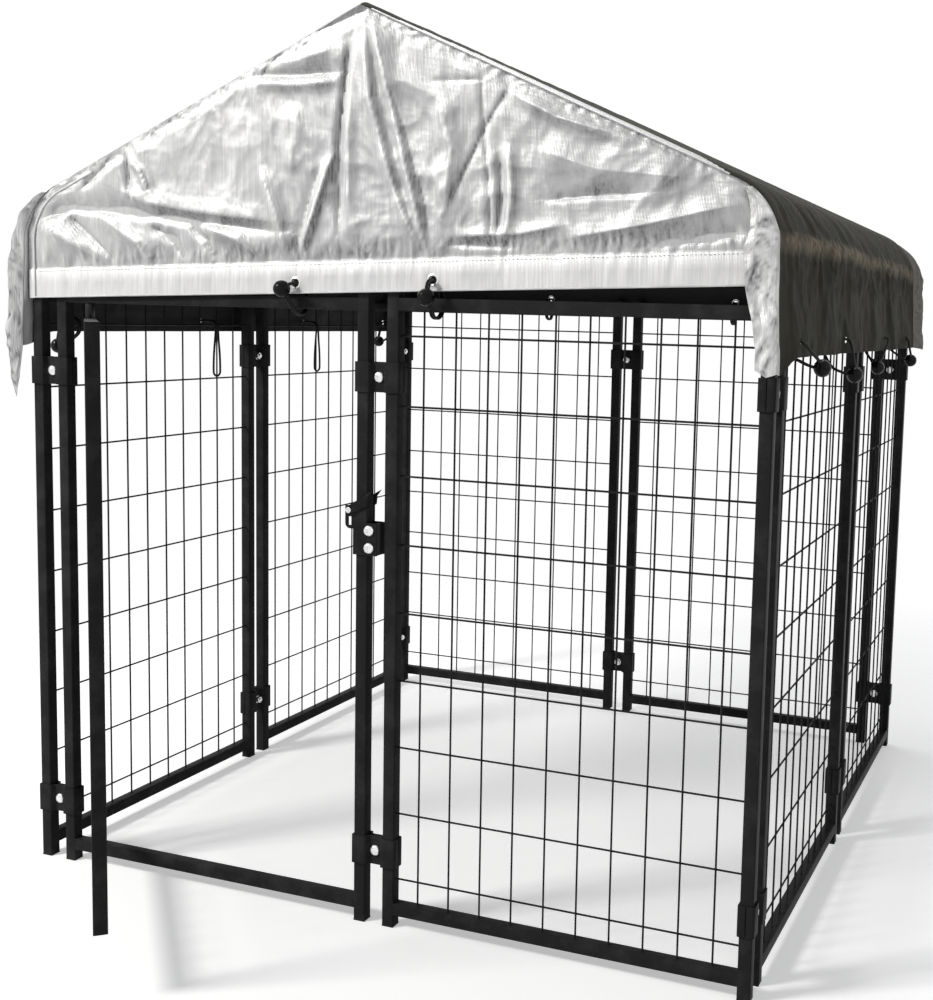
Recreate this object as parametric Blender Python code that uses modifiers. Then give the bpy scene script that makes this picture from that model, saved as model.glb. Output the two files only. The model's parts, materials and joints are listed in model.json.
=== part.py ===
"""A square wire dog kennel with a gable roof cover, its gate standing open. Metres, +Z up.

Eight panels stand in a pinwheel: each side's row of two panels ends at a corner post and starts beside
the row before it. X runs along the front, Y runs back, and the origin is the middle of the foot of the
front left corner post. A row is laid out along X at the front and turned about the middle of the plan.
"""

from math import ceil, cos, exp, pi, radians, sin, tan

import bmesh
import bpy
from mathutils import Matrix, Vector

# Panels
TUBE = 0.019  # side of the square tube
PANEL_WIDTH = 0.570
PANEL_GAP = 0.030  # between the posts in the middle of a side
CORNER_GAP = 0.030  # between the posts that meet at a corner
POST_HEIGHT = 0.960
RAIL_INSET = 0.019  # from a post's end to its rail
WIRE = 0.003  # diameter
WIRE_ACROSS = 0.0508  # pitch of the upright wires
WIRE_UP = 0.1016  # pitch of the level wires
WIRE_ROOT = 0.002  # how far a wire's end is let into the frame
GAP = 0.0003  # between pieces that touch
BITE = 0.0004  # how far joined shapes sink into each other
MERGE = 0.00001  # between the points of a curve's caps and of its wall

# Gate
PIVOT_GAP = 0.0295  # from the door frame to the gate's hinge side
LATCH_GAP = 0.020  # from the gate's free side to the door frame
GATE_UNDER = 0.054  # from the bottom rail to the gate
GATE_OVER = 0.024  # from the gate to the top rail
GATE_OPEN = 48  # degrees from shut, as it stands
PIN_RADIUS = 0.004
PIN_HEAD_RADIUS = 0.0075
PIN_HEAD = 0.004
PIN_REACH = 0.025  # into the gate's post
BUSH_WALL = 0.003

# Clamps
CLAMP_HEIGHT = 0.044
CLAMP_LOW = 0.114  # middle of the lower clamps
CLAMP_DOWN = 0.134  # from the posts' tops to the middle of the upper clamps
CLAMP_LOWERED = 0.013  # by which the front left corner's clamps sit below the rest
PLATE = 0.0025
WEB_GAP = 0.004  # between the two jaws at the bolt
LIP_GAP = 0.0012  # between the two jaws on a post's outer side
WEB_SLANT = 0.003
BOLT_RADIUS = 0.004
BOLT_HEAD_RADIUS = 0.0085
BOLT_HEAD = 0.0045
NUT_RADIUS = 0.0072
NUT = 0.0065
BOLT_END = 0.003  # thread beyond the nut

# Latch
LATCH_BOLT_LOW = 0.575
LATCH_BOLT_PITCH = 0.026
LATCH_EDGE = 0.011  # plate beyond the outer bolts
LATCH_SIDE = 0.0125  # from the bolts' middle to the plates' right edge
LATCH_NECK = 0.0245  # plate above its wide part
LOOP_REACH = 0.0165  # loop's reach into the door opening
LOOP_HEIGHT = 0.0345
LOOP_ROUND = 0.008
SLOT_WIDTH = 0.006
SLOT_HEIGHT = 0.013
SLOT_EDGE = 0.005
LEVER_THICKNESS = 0.003
LEVER_PIN_RADIUS = 0.0025
LEVER_PIN_HEAD = 0.0045
LEVER_EYE = 0.0065
LEVER_BLADE = ((0.029, -0.0072), (0.036, 0.0035), (0.047, 0.0085))  # heel, nose and tip, from the pin
LEVER_RAISED = 28  # degrees above level, thrown back

# Roof frame
ROOF_TUBE_RADIUS = 0.008
ROOF_PITCH = 24  # degrees
RIDGE_RISE = 0.381  # of the ridge pole's middle above the posts
EAVE_RADIUS = 0.090  # bend of a rafter's middle line
LEG_DEPTH = 0.060  # of a rafter's leg in its post
FITTING_WALL = 0.0022
FITTING_SLEEVE = 0.045
FITTING_CORE = 0.010  # from the middle of a fitting to its tubes

# Cover
SHEET = 0.0015
SHEET_OFF = 0.0115  # from the rafters' middle line to the sheet's inner side
ROOF_LIP = 0.022  # of the roof sheet past the end rafters' middle
VALANCE_DROP = 0.086  # of the valance's lower edge below the posts' tops
VALANCE_FLARE = 0.005
VALANCE_WAVE = 0.0035
ROOF_SAG = 0.010
FLAP_OFF = 0.0125  # from the end rafters' middle to a gable flap's inner side
HEM_LEFT_DROP = 0.032  # of the front flap's hem below the posts' tops, at its left end
HEM_RIGHT_DROP = -0.006
HEM_BACK_DROP = 0.015
WING = 0.042  # of the corner wing across the front
WING_OUT = 0.018  # of the other corner wings from the valance
WING_TAIL = 0.085  # of the front left wing below the valance's edge
GROMMET_RADIUS = 0.006
GROMMET_UP = 0.021  # above the valance's lower edge
HEM_GROMMET_UP = 0.016

# Elastic ties
CORD_RADIUS = 0.002
BALL_RADIUS = 0.0125
BALL_OUT = 0.034  # from the panels' middle to a ball's middle
TIE_DROP = 0.024  # from the valance's edge to a ball's middle
SLACK = 0.105  # of a tie that hangs inside, below its eyelet
SLACK_IN = 0.018  # from the panels' middle to the hanging loop
SLACK_ROUND = 0.010  # at the loop's lowest turn
SLACK_BALL_OUT = 0.0335
RIGHT_TIES = ((0, 0), (0, 7), (1, 3), (1, 8))  # panel of the row, and the wire before the tie
RIGHT_BALLS = (  # out from the panels, down from the valance's edge, and back from the eyelet
    (0.0435, 0.015, 0.050),
    (0.0435, 0.032, -0.043),
    (0.0185, 0.031, -0.064),
    (0.0340, 0.024, 0.0),
)
LEFT_TIES = ((1, 9), (1, 2), (0, 7), (0, 0))
LEFT_SLACK = (2, 3)
DOOR_TIE_IN = 0.1015  # from the door frame's right post to the tie over the door
FRONT_TIE = (1, 1)
FRONT_TIE_SHIFT = -0.006
FRONT_BALLS = ((0.035, 0.0065, -0.010), (0.034, -0.0085, 0.0))  # out, up from the hem, right
BACK_TIES = ((1, 3), (0, 6))

HALF = TUBE / 2
ROW_START = HALF + CORNER_GAP  # of a row's first panel, from its corner post's middle
SPAN = ROW_START + 2 * PANEL_WIDTH + PANEL_GAP - HALF  # between the middles of two corner posts
MIDDLE = SPAN / 2
SECOND_PANEL = ROW_START + PANEL_WIDTH + PANEL_GAP
RAIL_LOW = RAIL_INSET
RAIL_TOP = POST_HEIGHT - RAIL_INSET
DOOR_RIGHT = ROW_START + PANEL_WIDTH
GATE_AXIS = ROW_START + TUBE + PIVOT_GAP + HALF
GATE_WIDTH = DOOR_RIGHT - TUBE - LATCH_GAP - (GATE_AXIS - HALF)
GATE_LOW = RAIL_LOW + TUBE + GATE_UNDER
GATE_TOP = RAIL_TOP - TUBE - GATE_OVER
LEVER_AXIS_X = DOOR_RIGHT - TUBE - LOOP_REACH / 2
LATCH_WIDE_TOP = LATCH_BOLT_LOW + LATCH_BOLT_PITCH + LATCH_EDGE
LATCH_TOP = LATCH_WIDE_TOP + LATCH_NECK
LEVER_AXIS_Z = LATCH_TOP - LEVER_EYE
CLAMP_HIGH = POST_HEIGHT - CLAMP_DOWN
RIDGE_HEIGHT = POST_HEIGHT + RIDGE_RISE
VALANCE_END = POST_HEIGHT - VALANCE_DROP
HEM_LEFT = POST_HEIGHT - HEM_LEFT_DROP
HEM_RIGHT = POST_HEIGHT - HEM_RIGHT_DROP
HEM_BACK = POST_HEIGHT - HEM_BACK_DROP
SHEET_LINE = SHEET_OFF + SHEET / 2

PAINT = ("powder coat black", (0.012, 0.012, 0.013), 0.38, 0.0)
ZINC = ("zinc plate", (0.62, 0.63, 0.64), 0.28, 1.0)
ROOF_CLOTH = ("coated cloth grey", (0.055, 0.056, 0.050), 0.55, 0.0)
FLAP_CLOTH = ("coated cloth silver", (0.42, 0.43, 0.44), 0.42, 0.2)
ELASTIC = ("elastic black", (0.015, 0.015, 0.015), 0.7, 0.0)
PLASTIC = ("plastic black", (0.02, 0.02, 0.02), 0.45, 0.0)


def clear_scene():
    for thing in list(bpy.data.objects):
        bpy.data.objects.remove(thing, do_unlink=True)


def new_collection(name):
    collection = bpy.data.collections.new(name)
    bpy.context.scene.collection.children.link(collection)
    return collection


def material_of(finish):
    name, colour, roughness, metallic = finish
    material = bpy.data.materials.get(name)
    if material is None:
        material = bpy.data.materials.new(name)
        material.use_nodes = True
        shader = material.node_tree.nodes["Principled BSDF"]
        shader.inputs["Base Color"].default_value = (*colour, 1.0)
        shader.inputs["Roughness"].default_value = roughness
        shader.inputs["Metallic"].default_value = metallic
    return material


def evaluated_mesh(thing, name, merge=0.0):
    """The mesh that an object comes to, with points merged that lie closer than a distance."""
    bpy.context.view_layer.update()
    graph = bpy.context.evaluated_depsgraph_get()
    mesh = bpy.data.meshes.new_from_object(thing.evaluated_get(graph), depsgraph=graph)
    mesh.name = name
    if merge:
        shape = bmesh.new()
        shape.from_mesh(mesh)
        bmesh.ops.remove_doubles(shape, verts=shape.verts, dist=merge)
        shape.to_mesh(mesh)
        shape.free()
    return mesh


def place(name, mesh, finish, matrix=Matrix.Identity(4), parent=None):
    """A named piece of the kennel, in the place that the matrix gives."""
    thing = bpy.data.objects.new(name, mesh)
    KENNEL.objects.link(thing)
    mesh.materials.clear()
    mesh.materials.append(material_of(finish))
    thing.parent = parent
    thing.matrix_local = matrix
    return thing


def round_shading(mesh, degrees=35):
    mesh.shade_smooth()
    mesh.set_sharp_from_angle(angle=radians(degrees))
    return mesh


def boxes(name, *corners):
    """One mesh of boxes, each between its lowest and highest corner."""
    shape = bmesh.new()
    for low, high in corners:
        low, high = Vector(low), Vector(high)
        size = Matrix.Diagonal((*(high - low), 1.0))
        bmesh.ops.create_cube(shape, size=1.0, matrix=Matrix.Translation((low + high) / 2) @ size)
    mesh = bpy.data.meshes.new(name)
    shape.to_mesh(mesh)
    shape.free()
    return mesh


def rods(name, *runs, segments=12):
    """One mesh of round bars, each (start, end, radius) or (start, end, radius, end radius)."""
    shape = bmesh.new()
    for start, end, radius, *rest in runs:
        start, end = Vector(start), Vector(end)
        along = end - start
        turn = along.to_track_quat("Z", "Y").to_matrix().to_4x4()
        bmesh.ops.create_cone(
            shape,
            cap_ends=True,
            segments=segments,
            radius1=radius,
            radius2=rest[0] if rest else radius,
            depth=along.length,
            matrix=Matrix.Translation((start + end) / 2) @ turn,
        )
    mesh = bpy.data.meshes.new(name)
    shape.to_mesh(mesh)
    shape.free()
    return round_shading(mesh)


def tubes(name, routes, radius, sides_step):
    """One mesh of bars along straight-sided routes, with flat ends."""
    curve = bpy.data.curves.new(name, "CURVE")
    curve.dimensions = "3D"
    curve.bevel_depth = radius
    curve.bevel_resolution = sides_step
    curve.use_fill_caps = True
    for route in routes:
        spline = curve.splines.new("POLY")
        spline.points.add(len(route) - 1)
        for point, spot in zip(spline.points, route):
            point.co = (*spot, 1.0)
    thing = bpy.data.objects.new(name, curve)
    KENNEL.objects.link(thing)
    mesh = evaluated_mesh(thing, name, MERGE)
    bpy.data.objects.remove(thing)
    return mesh


def plate(name, outline, thickness, holes=()):
    """A flat plate in the XY plane, half its thickness either side of it."""
    curve = bpy.data.curves.new(name, "CURVE")
    curve.dimensions = "2D"
    curve.fill_mode = "BOTH"
    curve.extrude = thickness / 2
    for ring in (outline, *holes):
        spline = curve.splines.new("POLY")
        spline.points.add(len(ring) - 1)
        for point, (x, y) in zip(spline.points, ring):
            point.co = (x, y, 0.0, 1.0)
        spline.use_cyclic_u = True
    thing = bpy.data.objects.new(name, curve)
    KENNEL.objects.link(thing)
    mesh = evaluated_mesh(thing, name, MERGE)
    bpy.data.objects.remove(thing)
    return mesh


def combined(name, base, joins=(), cuts=()):
    """One mesh: the base with some meshes joined to it and others cut from it, in that order."""
    thing = bpy.data.objects.new(name, base)
    KENNEL.objects.link(thing)
    tools = []
    for operation, meshes in (("UNION", joins), ("DIFFERENCE", cuts)):
        for mesh in meshes:
            tool = bpy.data.objects.new(mesh.name, mesh)
            CUTTERS.objects.link(tool)
            tool.hide_render = True
            tool.display_type = "WIRE"
            tools.append(tool)
            modifier = thing.modifiers.new(mesh.name, "BOOLEAN")
            modifier.operation = operation
            modifier.object = tool
    mesh = evaluated_mesh(thing, name)
    for tool in (thing, *tools):
        bpy.data.objects.remove(tool)
    return mesh


def ring(centre, radius, count, start=0.0, end=2 * pi):
    """Points on an arc about a centre; a full turn leaves out its last point."""
    steps = count if abs(end - start) > 2 * pi - 0.001 else count - 1
    step = (end - start) / steps
    return [
        (centre[0] + radius * cos(start + i * step), centre[1] + radius * sin(start + i * step))
        for i in range(count)
    ]


def strip_outline(path, thickness):
    """The outline of a bent strip, half its thickness either side of its middle line."""
    points = [Vector(p) for p in path]
    sides = ([], [])
    for i, point in enumerate(points):
        before = (point - points[i - 1]).normalized() if i else None
        after = (points[i + 1] - point).normalized() if i + 1 < len(points) else None
        one = before or after
        two = after or before
        normal = Vector((-(one + two).y, (one + two).x)).normalized()
        reach = thickness / 2 / normal.dot(Vector((-one.y, one.x)))
        sides[0].append(tuple(point + normal * reach))
        sides[1].append(tuple(point - normal * reach))
    return sides[0] + sides[1][::-1]


def row_matrix(side):
    """Turns the front row to a side: 0 front, 1 right, 2 back, 3 left."""
    middle = Matrix.Translation((MIDDLE, MIDDLE, 0.0))
    return middle @ Matrix.Rotation(side * pi / 2, 4, "Z") @ middle.inverted()


def evenly(start, end, pitch):
    """Places between two edges at a pitch, with equal margins."""
    count = max(1, round((end - start) / pitch))
    first = (start + end - (count - 1) * pitch) / 2
    return [first + i * pitch for i in range(count)]


def framed_mesh(name, width, low, high, rail_low, rail_high, cuts=()):
    """A frame of square tube with welded wire in it, from X = 0, in the XZ plane."""
    posts = boxes(
        name + " posts",
        ((0.0, -HALF, low), (TUBE, HALF, high)),
        ((width - TUBE, -HALF, low), (width, HALF, high)),
    )
    rails = boxes(
        name + " rails",
        ((TUBE - BITE, BITE - HALF, rail_low), (width - TUBE + BITE, HALF - BITE, rail_low + TUBE)),
        ((TUBE - BITE, BITE - HALF, rail_high - TUBE), (width - TUBE + BITE, HALF - BITE, rail_high)),
    )
    layer = (WIRE + GAP) / 2
    bottom = rail_low + TUBE
    top = rail_high - TUBE
    upright = [
        ((x, -layer, bottom - WIRE_ROOT), (x, -layer, top + WIRE_ROOT))
        for x in evenly(TUBE, width - TUBE, WIRE_ACROSS)
    ]
    level = [
        ((TUBE - WIRE_ROOT, layer, z), (width - TUBE + WIRE_ROOT, layer, z))
        for z in evenly(bottom, top, WIRE_UP)
    ]
    upright_wires = tubes(name + " upright wires", upright, WIRE / 2, 0)
    level_wires = tubes(name + " level wires", level, WIRE / 2, 0)
    return combined(name, posts, (rails, upright_wires, level_wires), cuts)


def make_panels():
    """Seven wire panels; the ones that end at a corner have a bore in that post for a rafter's leg."""
    plain = framed_mesh("plain panel", PANEL_WIDTH, 0.0, POST_HEIGHT, RAIL_LOW, RAIL_TOP)
    leg_x = PANEL_WIDTH - HALF
    bore = rods(
        "leg bore",
        (
            (leg_x, 0.0, POST_HEIGHT - LEG_DEPTH - GAP),
            (leg_x, 0.0, POST_HEIGHT + TUBE),
            ROOF_TUBE_RADIUS + GAP,
        ),
    )
    corner = framed_mesh("corner panel", PANEL_WIDTH, 0.0, POST_HEIGHT, RAIL_LOW, RAIL_TOP, (bore,))
    names = (
        (None, "front_right_panel"),
        ("right_front_panel", "right_rear_panel"),
        ("back_right_panel", "back_left_panel"),
        ("left_rear_panel", "left_front_panel"),
    )
    for side, (first, second) in enumerate(names):
        if first:
            place(first, plain, PAINT, row_matrix(side) @ Matrix.Translation((ROW_START, 0.0, 0.0)))
        place(second, corner, PAINT, row_matrix(side) @ Matrix.Translation((SECOND_PANEL, 0.0, 0.0)))


def make_door_frame():
    posts = boxes(
        "door posts",
        ((ROW_START, -HALF, 0.0), (ROW_START + TUBE, HALF, POST_HEIGHT)),
        ((DOOR_RIGHT - TUBE, -HALF, 0.0), (DOOR_RIGHT, HALF, POST_HEIGHT)),
    )
    left = ROW_START + TUBE - BITE
    right = DOOR_RIGHT - TUBE + BITE
    rails = boxes(
        "door rails",
        ((left, BITE - HALF, RAIL_LOW), (right, HALF - BITE, RAIL_LOW + TUBE)),
        ((left, BITE - HALF, RAIL_TOP - TUBE), (right, HALF - BITE, RAIL_TOP)),
    )
    holes = rods(
        "pin holes",
        ((GATE_AXIS, 0.0, RAIL_LOW - BITE), (GATE_AXIS, 0.0, RAIL_LOW + TUBE + BITE), PIN_RADIUS + GAP),
        ((GATE_AXIS, 0.0, RAIL_TOP - TUBE - BITE), (GATE_AXIS, 0.0, RAIL_TOP + BITE), PIN_RADIUS + GAP),
    )
    place("door_frame", combined("door frame", posts, (rails,), (holes,)), PAINT)


def make_gate():
    """The gate hangs on its pivot, turned outwards; its own frame has the axis at X = 0."""
    pivot = bpy.data.objects.new("gate_pivot", None)
    KENNEL.objects.link(pivot)
    pivot.matrix_world = Matrix.Translation((GATE_AXIS, 0.0, 0.0)) @ Matrix.Rotation(
        -radians(GATE_OPEN), 4, "Z"
    )
    reach = PIN_REACH + GAP
    holes = rods(
        "gate pin holes",
        ((HALF, 0.0, GATE_LOW - BITE), (HALF, 0.0, GATE_LOW + reach), PIN_RADIUS + GAP),
        ((HALF, 0.0, GATE_TOP - reach), (HALF, 0.0, GATE_TOP + BITE), PIN_RADIUS + GAP),
    )
    mesh = framed_mesh("gate frame", GATE_WIDTH, GATE_LOW, GATE_TOP, GATE_LOW, GATE_TOP, (holes,))
    place("gate", mesh, PAINT, Matrix.Translation((-HALF, 0.0, 0.0)), pivot)

    for name, rail_face, away, gate_end in (
        ("gate_pin_bottom", RAIL_LOW, -1, GATE_LOW + PIN_REACH),
        ("gate_pin_top", RAIL_TOP, 1, GATE_TOP - PIN_REACH),
    ):
        head = rail_face + away * GAP
        root = head + away * PIN_HEAD / 2
        shank = rods(name + " shank", ((GATE_AXIS, 0.0, root), (GATE_AXIS, 0.0, gate_end), PIN_RADIUS))
        cap = rods(
            name + " head",
            ((GATE_AXIS, 0.0, head), (GATE_AXIS, 0.0, head + away * PIN_HEAD), PIN_HEAD_RADIUS),
        )
        place(name, combined(name, shank, (cap,)), ZINC)
    for name, low, high in (
        ("gate_bush_bottom", RAIL_LOW + TUBE + GAP, GATE_LOW - GAP),
        ("gate_bush_top", GATE_TOP + GAP, RAIL_TOP - TUBE - GAP),
    ):
        wall = PIN_RADIUS + GAP + BUSH_WALL
        body = rods(name + " body", ((GATE_AXIS, 0.0, low), (GATE_AXIS, 0.0, high), wall))
        bore = rods(
            name + " bore",
            ((GATE_AXIS, 0.0, low - BITE), (GATE_AXIS, 0.0, high + BITE), PIN_RADIUS + GAP),
        )
        place(name, round_shading(combined(name, body, (), (bore,))), PLASTIC)


def clamp_mesh(name, gap):
    """Two jaws round two posts, drawn together by a carriage bolt in the gap between them."""
    outer = gap / 2 + TUBE + GAP + PLATE / 2
    face = HALF + GAP + PLATE / 2
    web = WEB_GAP / 2 + PLATE / 2
    shoulder = gap / 2 - GAP - PLATE / 2
    path = [
        (-outer, -LIP_GAP / 2),
        (-outer, -face),
        (-shoulder, -face),
        (-shoulder + WEB_SLANT, -web),
        (shoulder - WEB_SLANT, -web),
        (shoulder, -face),
        (outer, -face),
        (outer, -LIP_GAP / 2),
    ]
    front = plate(name + " outer jaw", strip_outline(path, PLATE), CLAMP_HEIGHT)
    mirrored = [(x, -y) for x, y in reversed(path)]
    back = plate(name + " inner jaw", strip_outline(mirrored, PLATE), CLAMP_HEIGHT)
    surface = WEB_GAP / 2 + PLATE
    shank = rods(
        name + " shank",
        ((0.0, -surface - BITE, 0.0), (0.0, surface + NUT + BOLT_END, 0.0), BOLT_RADIUS),
        segments=8,
    )
    head = rods(
        name + " head",
        (
            (0.0, BITE - surface, 0.0),
            (0.0, -surface - BOLT_HEAD, 0.0),
            BOLT_HEAD_RADIUS,
            BOLT_HEAD_RADIUS * 0.55,
        ),
        segments=10,
    )
    nut = rods(
        name + " nut",
        ((0.0, surface - BITE, 0.0), (0.0, surface + NUT, 0.0), NUT_RADIUS),
        segments=6,
    )
    return combined(name, front, (shank, back, head, nut))


def make_clamps():
    """Two clamps at each joint: one joint at the corner where a row starts, one in its middle."""
    corner = clamp_mesh("corner clamp", CORNER_GAP)
    middle = clamp_mesh("middle clamp", PANEL_GAP)
    corner_x = (TUBE + CORNER_GAP) / 2
    middle_x = SECOND_PANEL - PANEL_GAP / 2
    sides = ("front", "right", "back", "left")
    corners = ("front_left", "front_right", "back_right", "back_left")
    for side in range(4):
        for level, height in (("lower", CLAMP_LOW), ("upper", CLAMP_HIGH)):
            lowered = CLAMP_LOWERED if side == 0 else 0.0
            at_corner = row_matrix(side) @ Matrix.Translation((corner_x, 0.0, height - lowered))
            place(f"clamp_{corners[side]}_corner_{level}", corner, PAINT, at_corner)
            at_middle = row_matrix(side) @ Matrix.Translation((middle_x, 0.0, height))
            place(f"clamp_{sides[side]}_middle_{level}", middle, PAINT, at_middle)


def upright_plate(mesh, y):
    """Stands a flat plate up in the XZ plane at a depth, its outline's Y going up."""
    mesh.transform(Matrix.Translation((0.0, y, 0.0)) @ Matrix.Rotation(pi / 2, 4, "X"))
    return mesh


def latch_plate(name, outline, holes, y, right):
    """One of the latch's plates: its face, with a wall inwards at the door post's left and at the bolts'
    right."""
    face = upright_plate(plate(name + " face", outline, PLATE, holes), y)
    low = LATCH_BOLT_LOW - LATCH_EDGE
    post_left = DOOR_RIGHT - TUBE
    inner = LIP_GAP / 2
    reach = sorted((inner if y > 0 else -inner, y))
    walls = boxes(
        name + " walls",
        (
            (post_left - GAP - PLATE, reach[0], low + BITE),
            (post_left - GAP, reach[1], LATCH_TOP - LOOP_HEIGHT - BITE),
        ),
        (
            (right - PLATE, reach[0], low + BITE),
            (right - BITE, reach[1], LATCH_WIDE_TOP - BITE),
        ),
    )
    return combined(name, face, (walls,))


def make_latch():
    """A plate either side of the door frame's right post, and a fork that drops over the shut gate: two
    blades on one pin."""
    post_left = DOOR_RIGHT - TUBE
    bolt_x = DOOR_RIGHT + GAP + BOLT_RADIUS + GAP
    low = LATCH_BOLT_LOW - LATCH_EDGE
    right = bolt_x + LATCH_SIDE
    loop_left = post_left - LOOP_REACH
    loop_low = LATCH_TOP - LOOP_HEIGHT
    wall_left = post_left - GAP - PLATE - BITE
    corner = ring((loop_left + LOOP_ROUND, loop_low + LOOP_ROUND), LOOP_ROUND, 5, pi, 1.5 * pi)
    outline = [
        (wall_left, low),
        (right, low),
        (right, LATCH_WIDE_TOP),
        (DOOR_RIGHT, LATCH_WIDE_TOP),
        (DOOR_RIGHT, LATCH_TOP),
        (loop_left, LATCH_TOP),
        *corner,
        (wall_left, loop_low),
    ]
    slot_left = loop_left + SLOT_EDGE
    slot_low = loop_low + SLOT_EDGE
    slot = [
        (slot_left, slot_low),
        (slot_left + SLOT_WIDTH, slot_low),
        (slot_left + SLOT_WIDTH, slot_low + SLOT_HEIGHT),
        (slot_left, slot_low + SLOT_HEIGHT),
    ]
    bolt_heights = (LATCH_BOLT_LOW, LATCH_BOLT_LOW + LATCH_BOLT_PITCH)
    bolt_holes = [ring((bolt_x, z), BOLT_RADIUS + GAP, 10) for z in bolt_heights]
    pin_hole = ring((LEVER_AXIS_X, LEVER_AXIS_Z), LEVER_PIN_RADIUS + GAP, 10)
    holes = (slot, *bolt_holes, pin_hole)
    plate_y = HALF + GAP + PLATE / 2
    place("latch_front_plate", latch_plate("latch front", outline, holes, -plate_y, right), PAINT)
    place("latch_back_plate", latch_plate("latch back", outline, holes, plate_y, right), PAINT)

    surface = HALF + GAP + PLATE + GAP
    for name, z in zip(("latch_bolt_lower", "latch_bolt_upper"), bolt_heights):
        shank = rods(
            name + " shank",
            ((bolt_x, -surface - BITE, z), (bolt_x, surface + NUT + BOLT_END, z), BOLT_RADIUS),
            segments=10,
        )
        head = rods(
            name + " head",
            (
                (bolt_x, -surface, z),
                (bolt_x, -surface - BOLT_HEAD, z),
                BOLT_HEAD_RADIUS - GAP,
                BOLT_HEAD_RADIUS * 0.55,
            ),
            segments=14,
        )
        nut = rods(
            name + " nut",
            ((bolt_x, surface, z), (bolt_x, surface + NUT, z), NUT_RADIUS),
            segments=6,
        )
        place(name, combined(name, shank, (head, nut)), ZINC)

    pivot = bpy.data.objects.new("lever_pivot", None)
    KENNEL.objects.link(pivot)
    pivot.matrix_world = Matrix.Translation((LEVER_AXIS_X, 0.0, LEVER_AXIS_Z))
    raised = Matrix.Rotation(-radians(LEVER_RAISED), 4, "Y")
    heel, nose, tip = LEVER_BLADE
    blade = [*ring((0.0, 0.0), LEVER_EYE, 9, 0.6 * pi, 1.5 * pi), heel, nose, tip]
    eye = ring((0.0, 0.0), LEVER_PIN_RADIUS + GAP, 10)
    for name, side in (("latch_lever_front", -1), ("latch_lever_rear", 1)):
        mesh = plate(name, blade, LEVER_THICKNESS, (eye,))
        place(name, upright_plate(mesh, side * (surface + LEVER_THICKNESS / 2)), PAINT, raised, pivot)
    end = surface + LEVER_THICKNESS + GAP
    pin = rods("lever pin shank", ((0.0, -end - BITE, 0.0), (0.0, end + BITE, 0.0), LEVER_PIN_RADIUS), segments=10)
    heads = [
        rods("lever pin head", ((0.0, side * end, 0.0), (0.0, side * (end + PLATE), 0.0), LEVER_PIN_HEAD))
        for side in (-1, 1)
    ]
    place("latch_lever_pin", combined("lever pin", pin, heads), ZINC, parent=pivot)


def eave_line(off, turns=5):
    """The right half of the roof's line at a distance outside the rafters' middle line: the ridge, then
    the bend from where the slope ends to where it is upright."""
    slope = radians(ROOF_PITCH)
    bend = EAVE_RADIUS + off
    turn = pi / 2 - slope
    inner_x = SPAN - EAVE_RADIUS
    tangent_x = inner_x + EAVE_RADIUS * sin(slope)
    centre_z = RIDGE_HEIGHT - (tangent_x - MIDDLE) * tan(slope) - EAVE_RADIUS * cos(slope)
    points = [(MIDDLE, RIDGE_HEIGHT + off / cos(slope))]
    for i in range(turns):
        angle = pi / 2 - slope - turn * i / (turns - 1)
        points.append((inner_x + bend * cos(angle), centre_z + bend * sin(angle)))
    return points


EAVE_HEIGHT = eave_line(0.0)[-1][1]  # where the eaves' bend ends


def make_roof_frame():
    slope = radians(ROOF_PITCH)
    down = Vector((cos(slope), 0.0, -sin(slope)))
    ridge = Vector((MIDDLE, 0.0, RIDGE_HEIGHT))
    start = ridge + down * FITTING_CORE
    leg = [(x, 0.0, z) for x, z in eave_line(0.0, 7)[1:]]
    route = [tuple(start), *leg, (SPAN, 0.0, POST_HEIGHT - LEG_DEPTH)]
    rafter = round_shading(tubes("rafter", [route], ROOF_TUBE_RADIUS, 3))
    for name, side in (
        ("rafter_front_right", 0),
        ("rafter_back_left", 2),
    ):
        place(name, rafter, PAINT, row_matrix(side))
    flip = Matrix.Translation((MIDDLE, 0.0, 0.0)) @ Matrix.Rotation(pi, 4, "Z")
    flip = flip @ Matrix.Translation((-MIDDLE, 0.0, 0.0))
    place("rafter_front_left", rafter, PAINT, flip)
    place("rafter_back_right", rafter, PAINT, Matrix.Translation((0.0, SPAN, 0.0)))
    pole = rods(
        "ridge pole",
        (
            (MIDDLE, FITTING_CORE, RIDGE_HEIGHT),
            (MIDDLE, SPAN - FITTING_CORE, RIDGE_HEIGHT),
            ROOF_TUBE_RADIUS,
        ),
    )
    place("ridge_pole", pole, PAINT)

    wall = ROOF_TUBE_RADIUS + GAP + FITTING_WALL
    up = Vector((-down.x, 0.0, down.z))
    core = FITTING_CORE - GAP
    inward = Vector((0.0, 1.0, 0.0))
    sleeves = [
        rods(f"sleeve {i}", (ridge - way * BITE * i, ridge + way * FITTING_SLEEVE, wall))
        for i, way in enumerate((down, up, inward))
    ]
    bores = [
        rods(f"bore {i}", (ridge + way * core, ridge + way * FITTING_SLEEVE * 1.2, ROOF_TUBE_RADIUS + GAP))
        for i, way in enumerate((down, up, inward))
    ]
    fitting = round_shading(combined("ridge fitting", sleeves[0], sleeves[1:], bores))
    place("ridge_fitting_front", fitting, PAINT)
    place("ridge_fitting_back", fitting, PAINT, row_matrix(2))


def between_wires(panel, wire):
    """The place along a row midway between a wire of a panel and the next, or the frame before wire 0."""
    start = (ROW_START, SECOND_PANEL)[panel]
    edges = [TUBE, *evenly(TUBE, PANEL_WIDTH - TUBE, WIRE_ACROSS), PANEL_WIDTH - TUBE]
    return start + (edges[wire] + edges[wire + 1]) / 2


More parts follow.
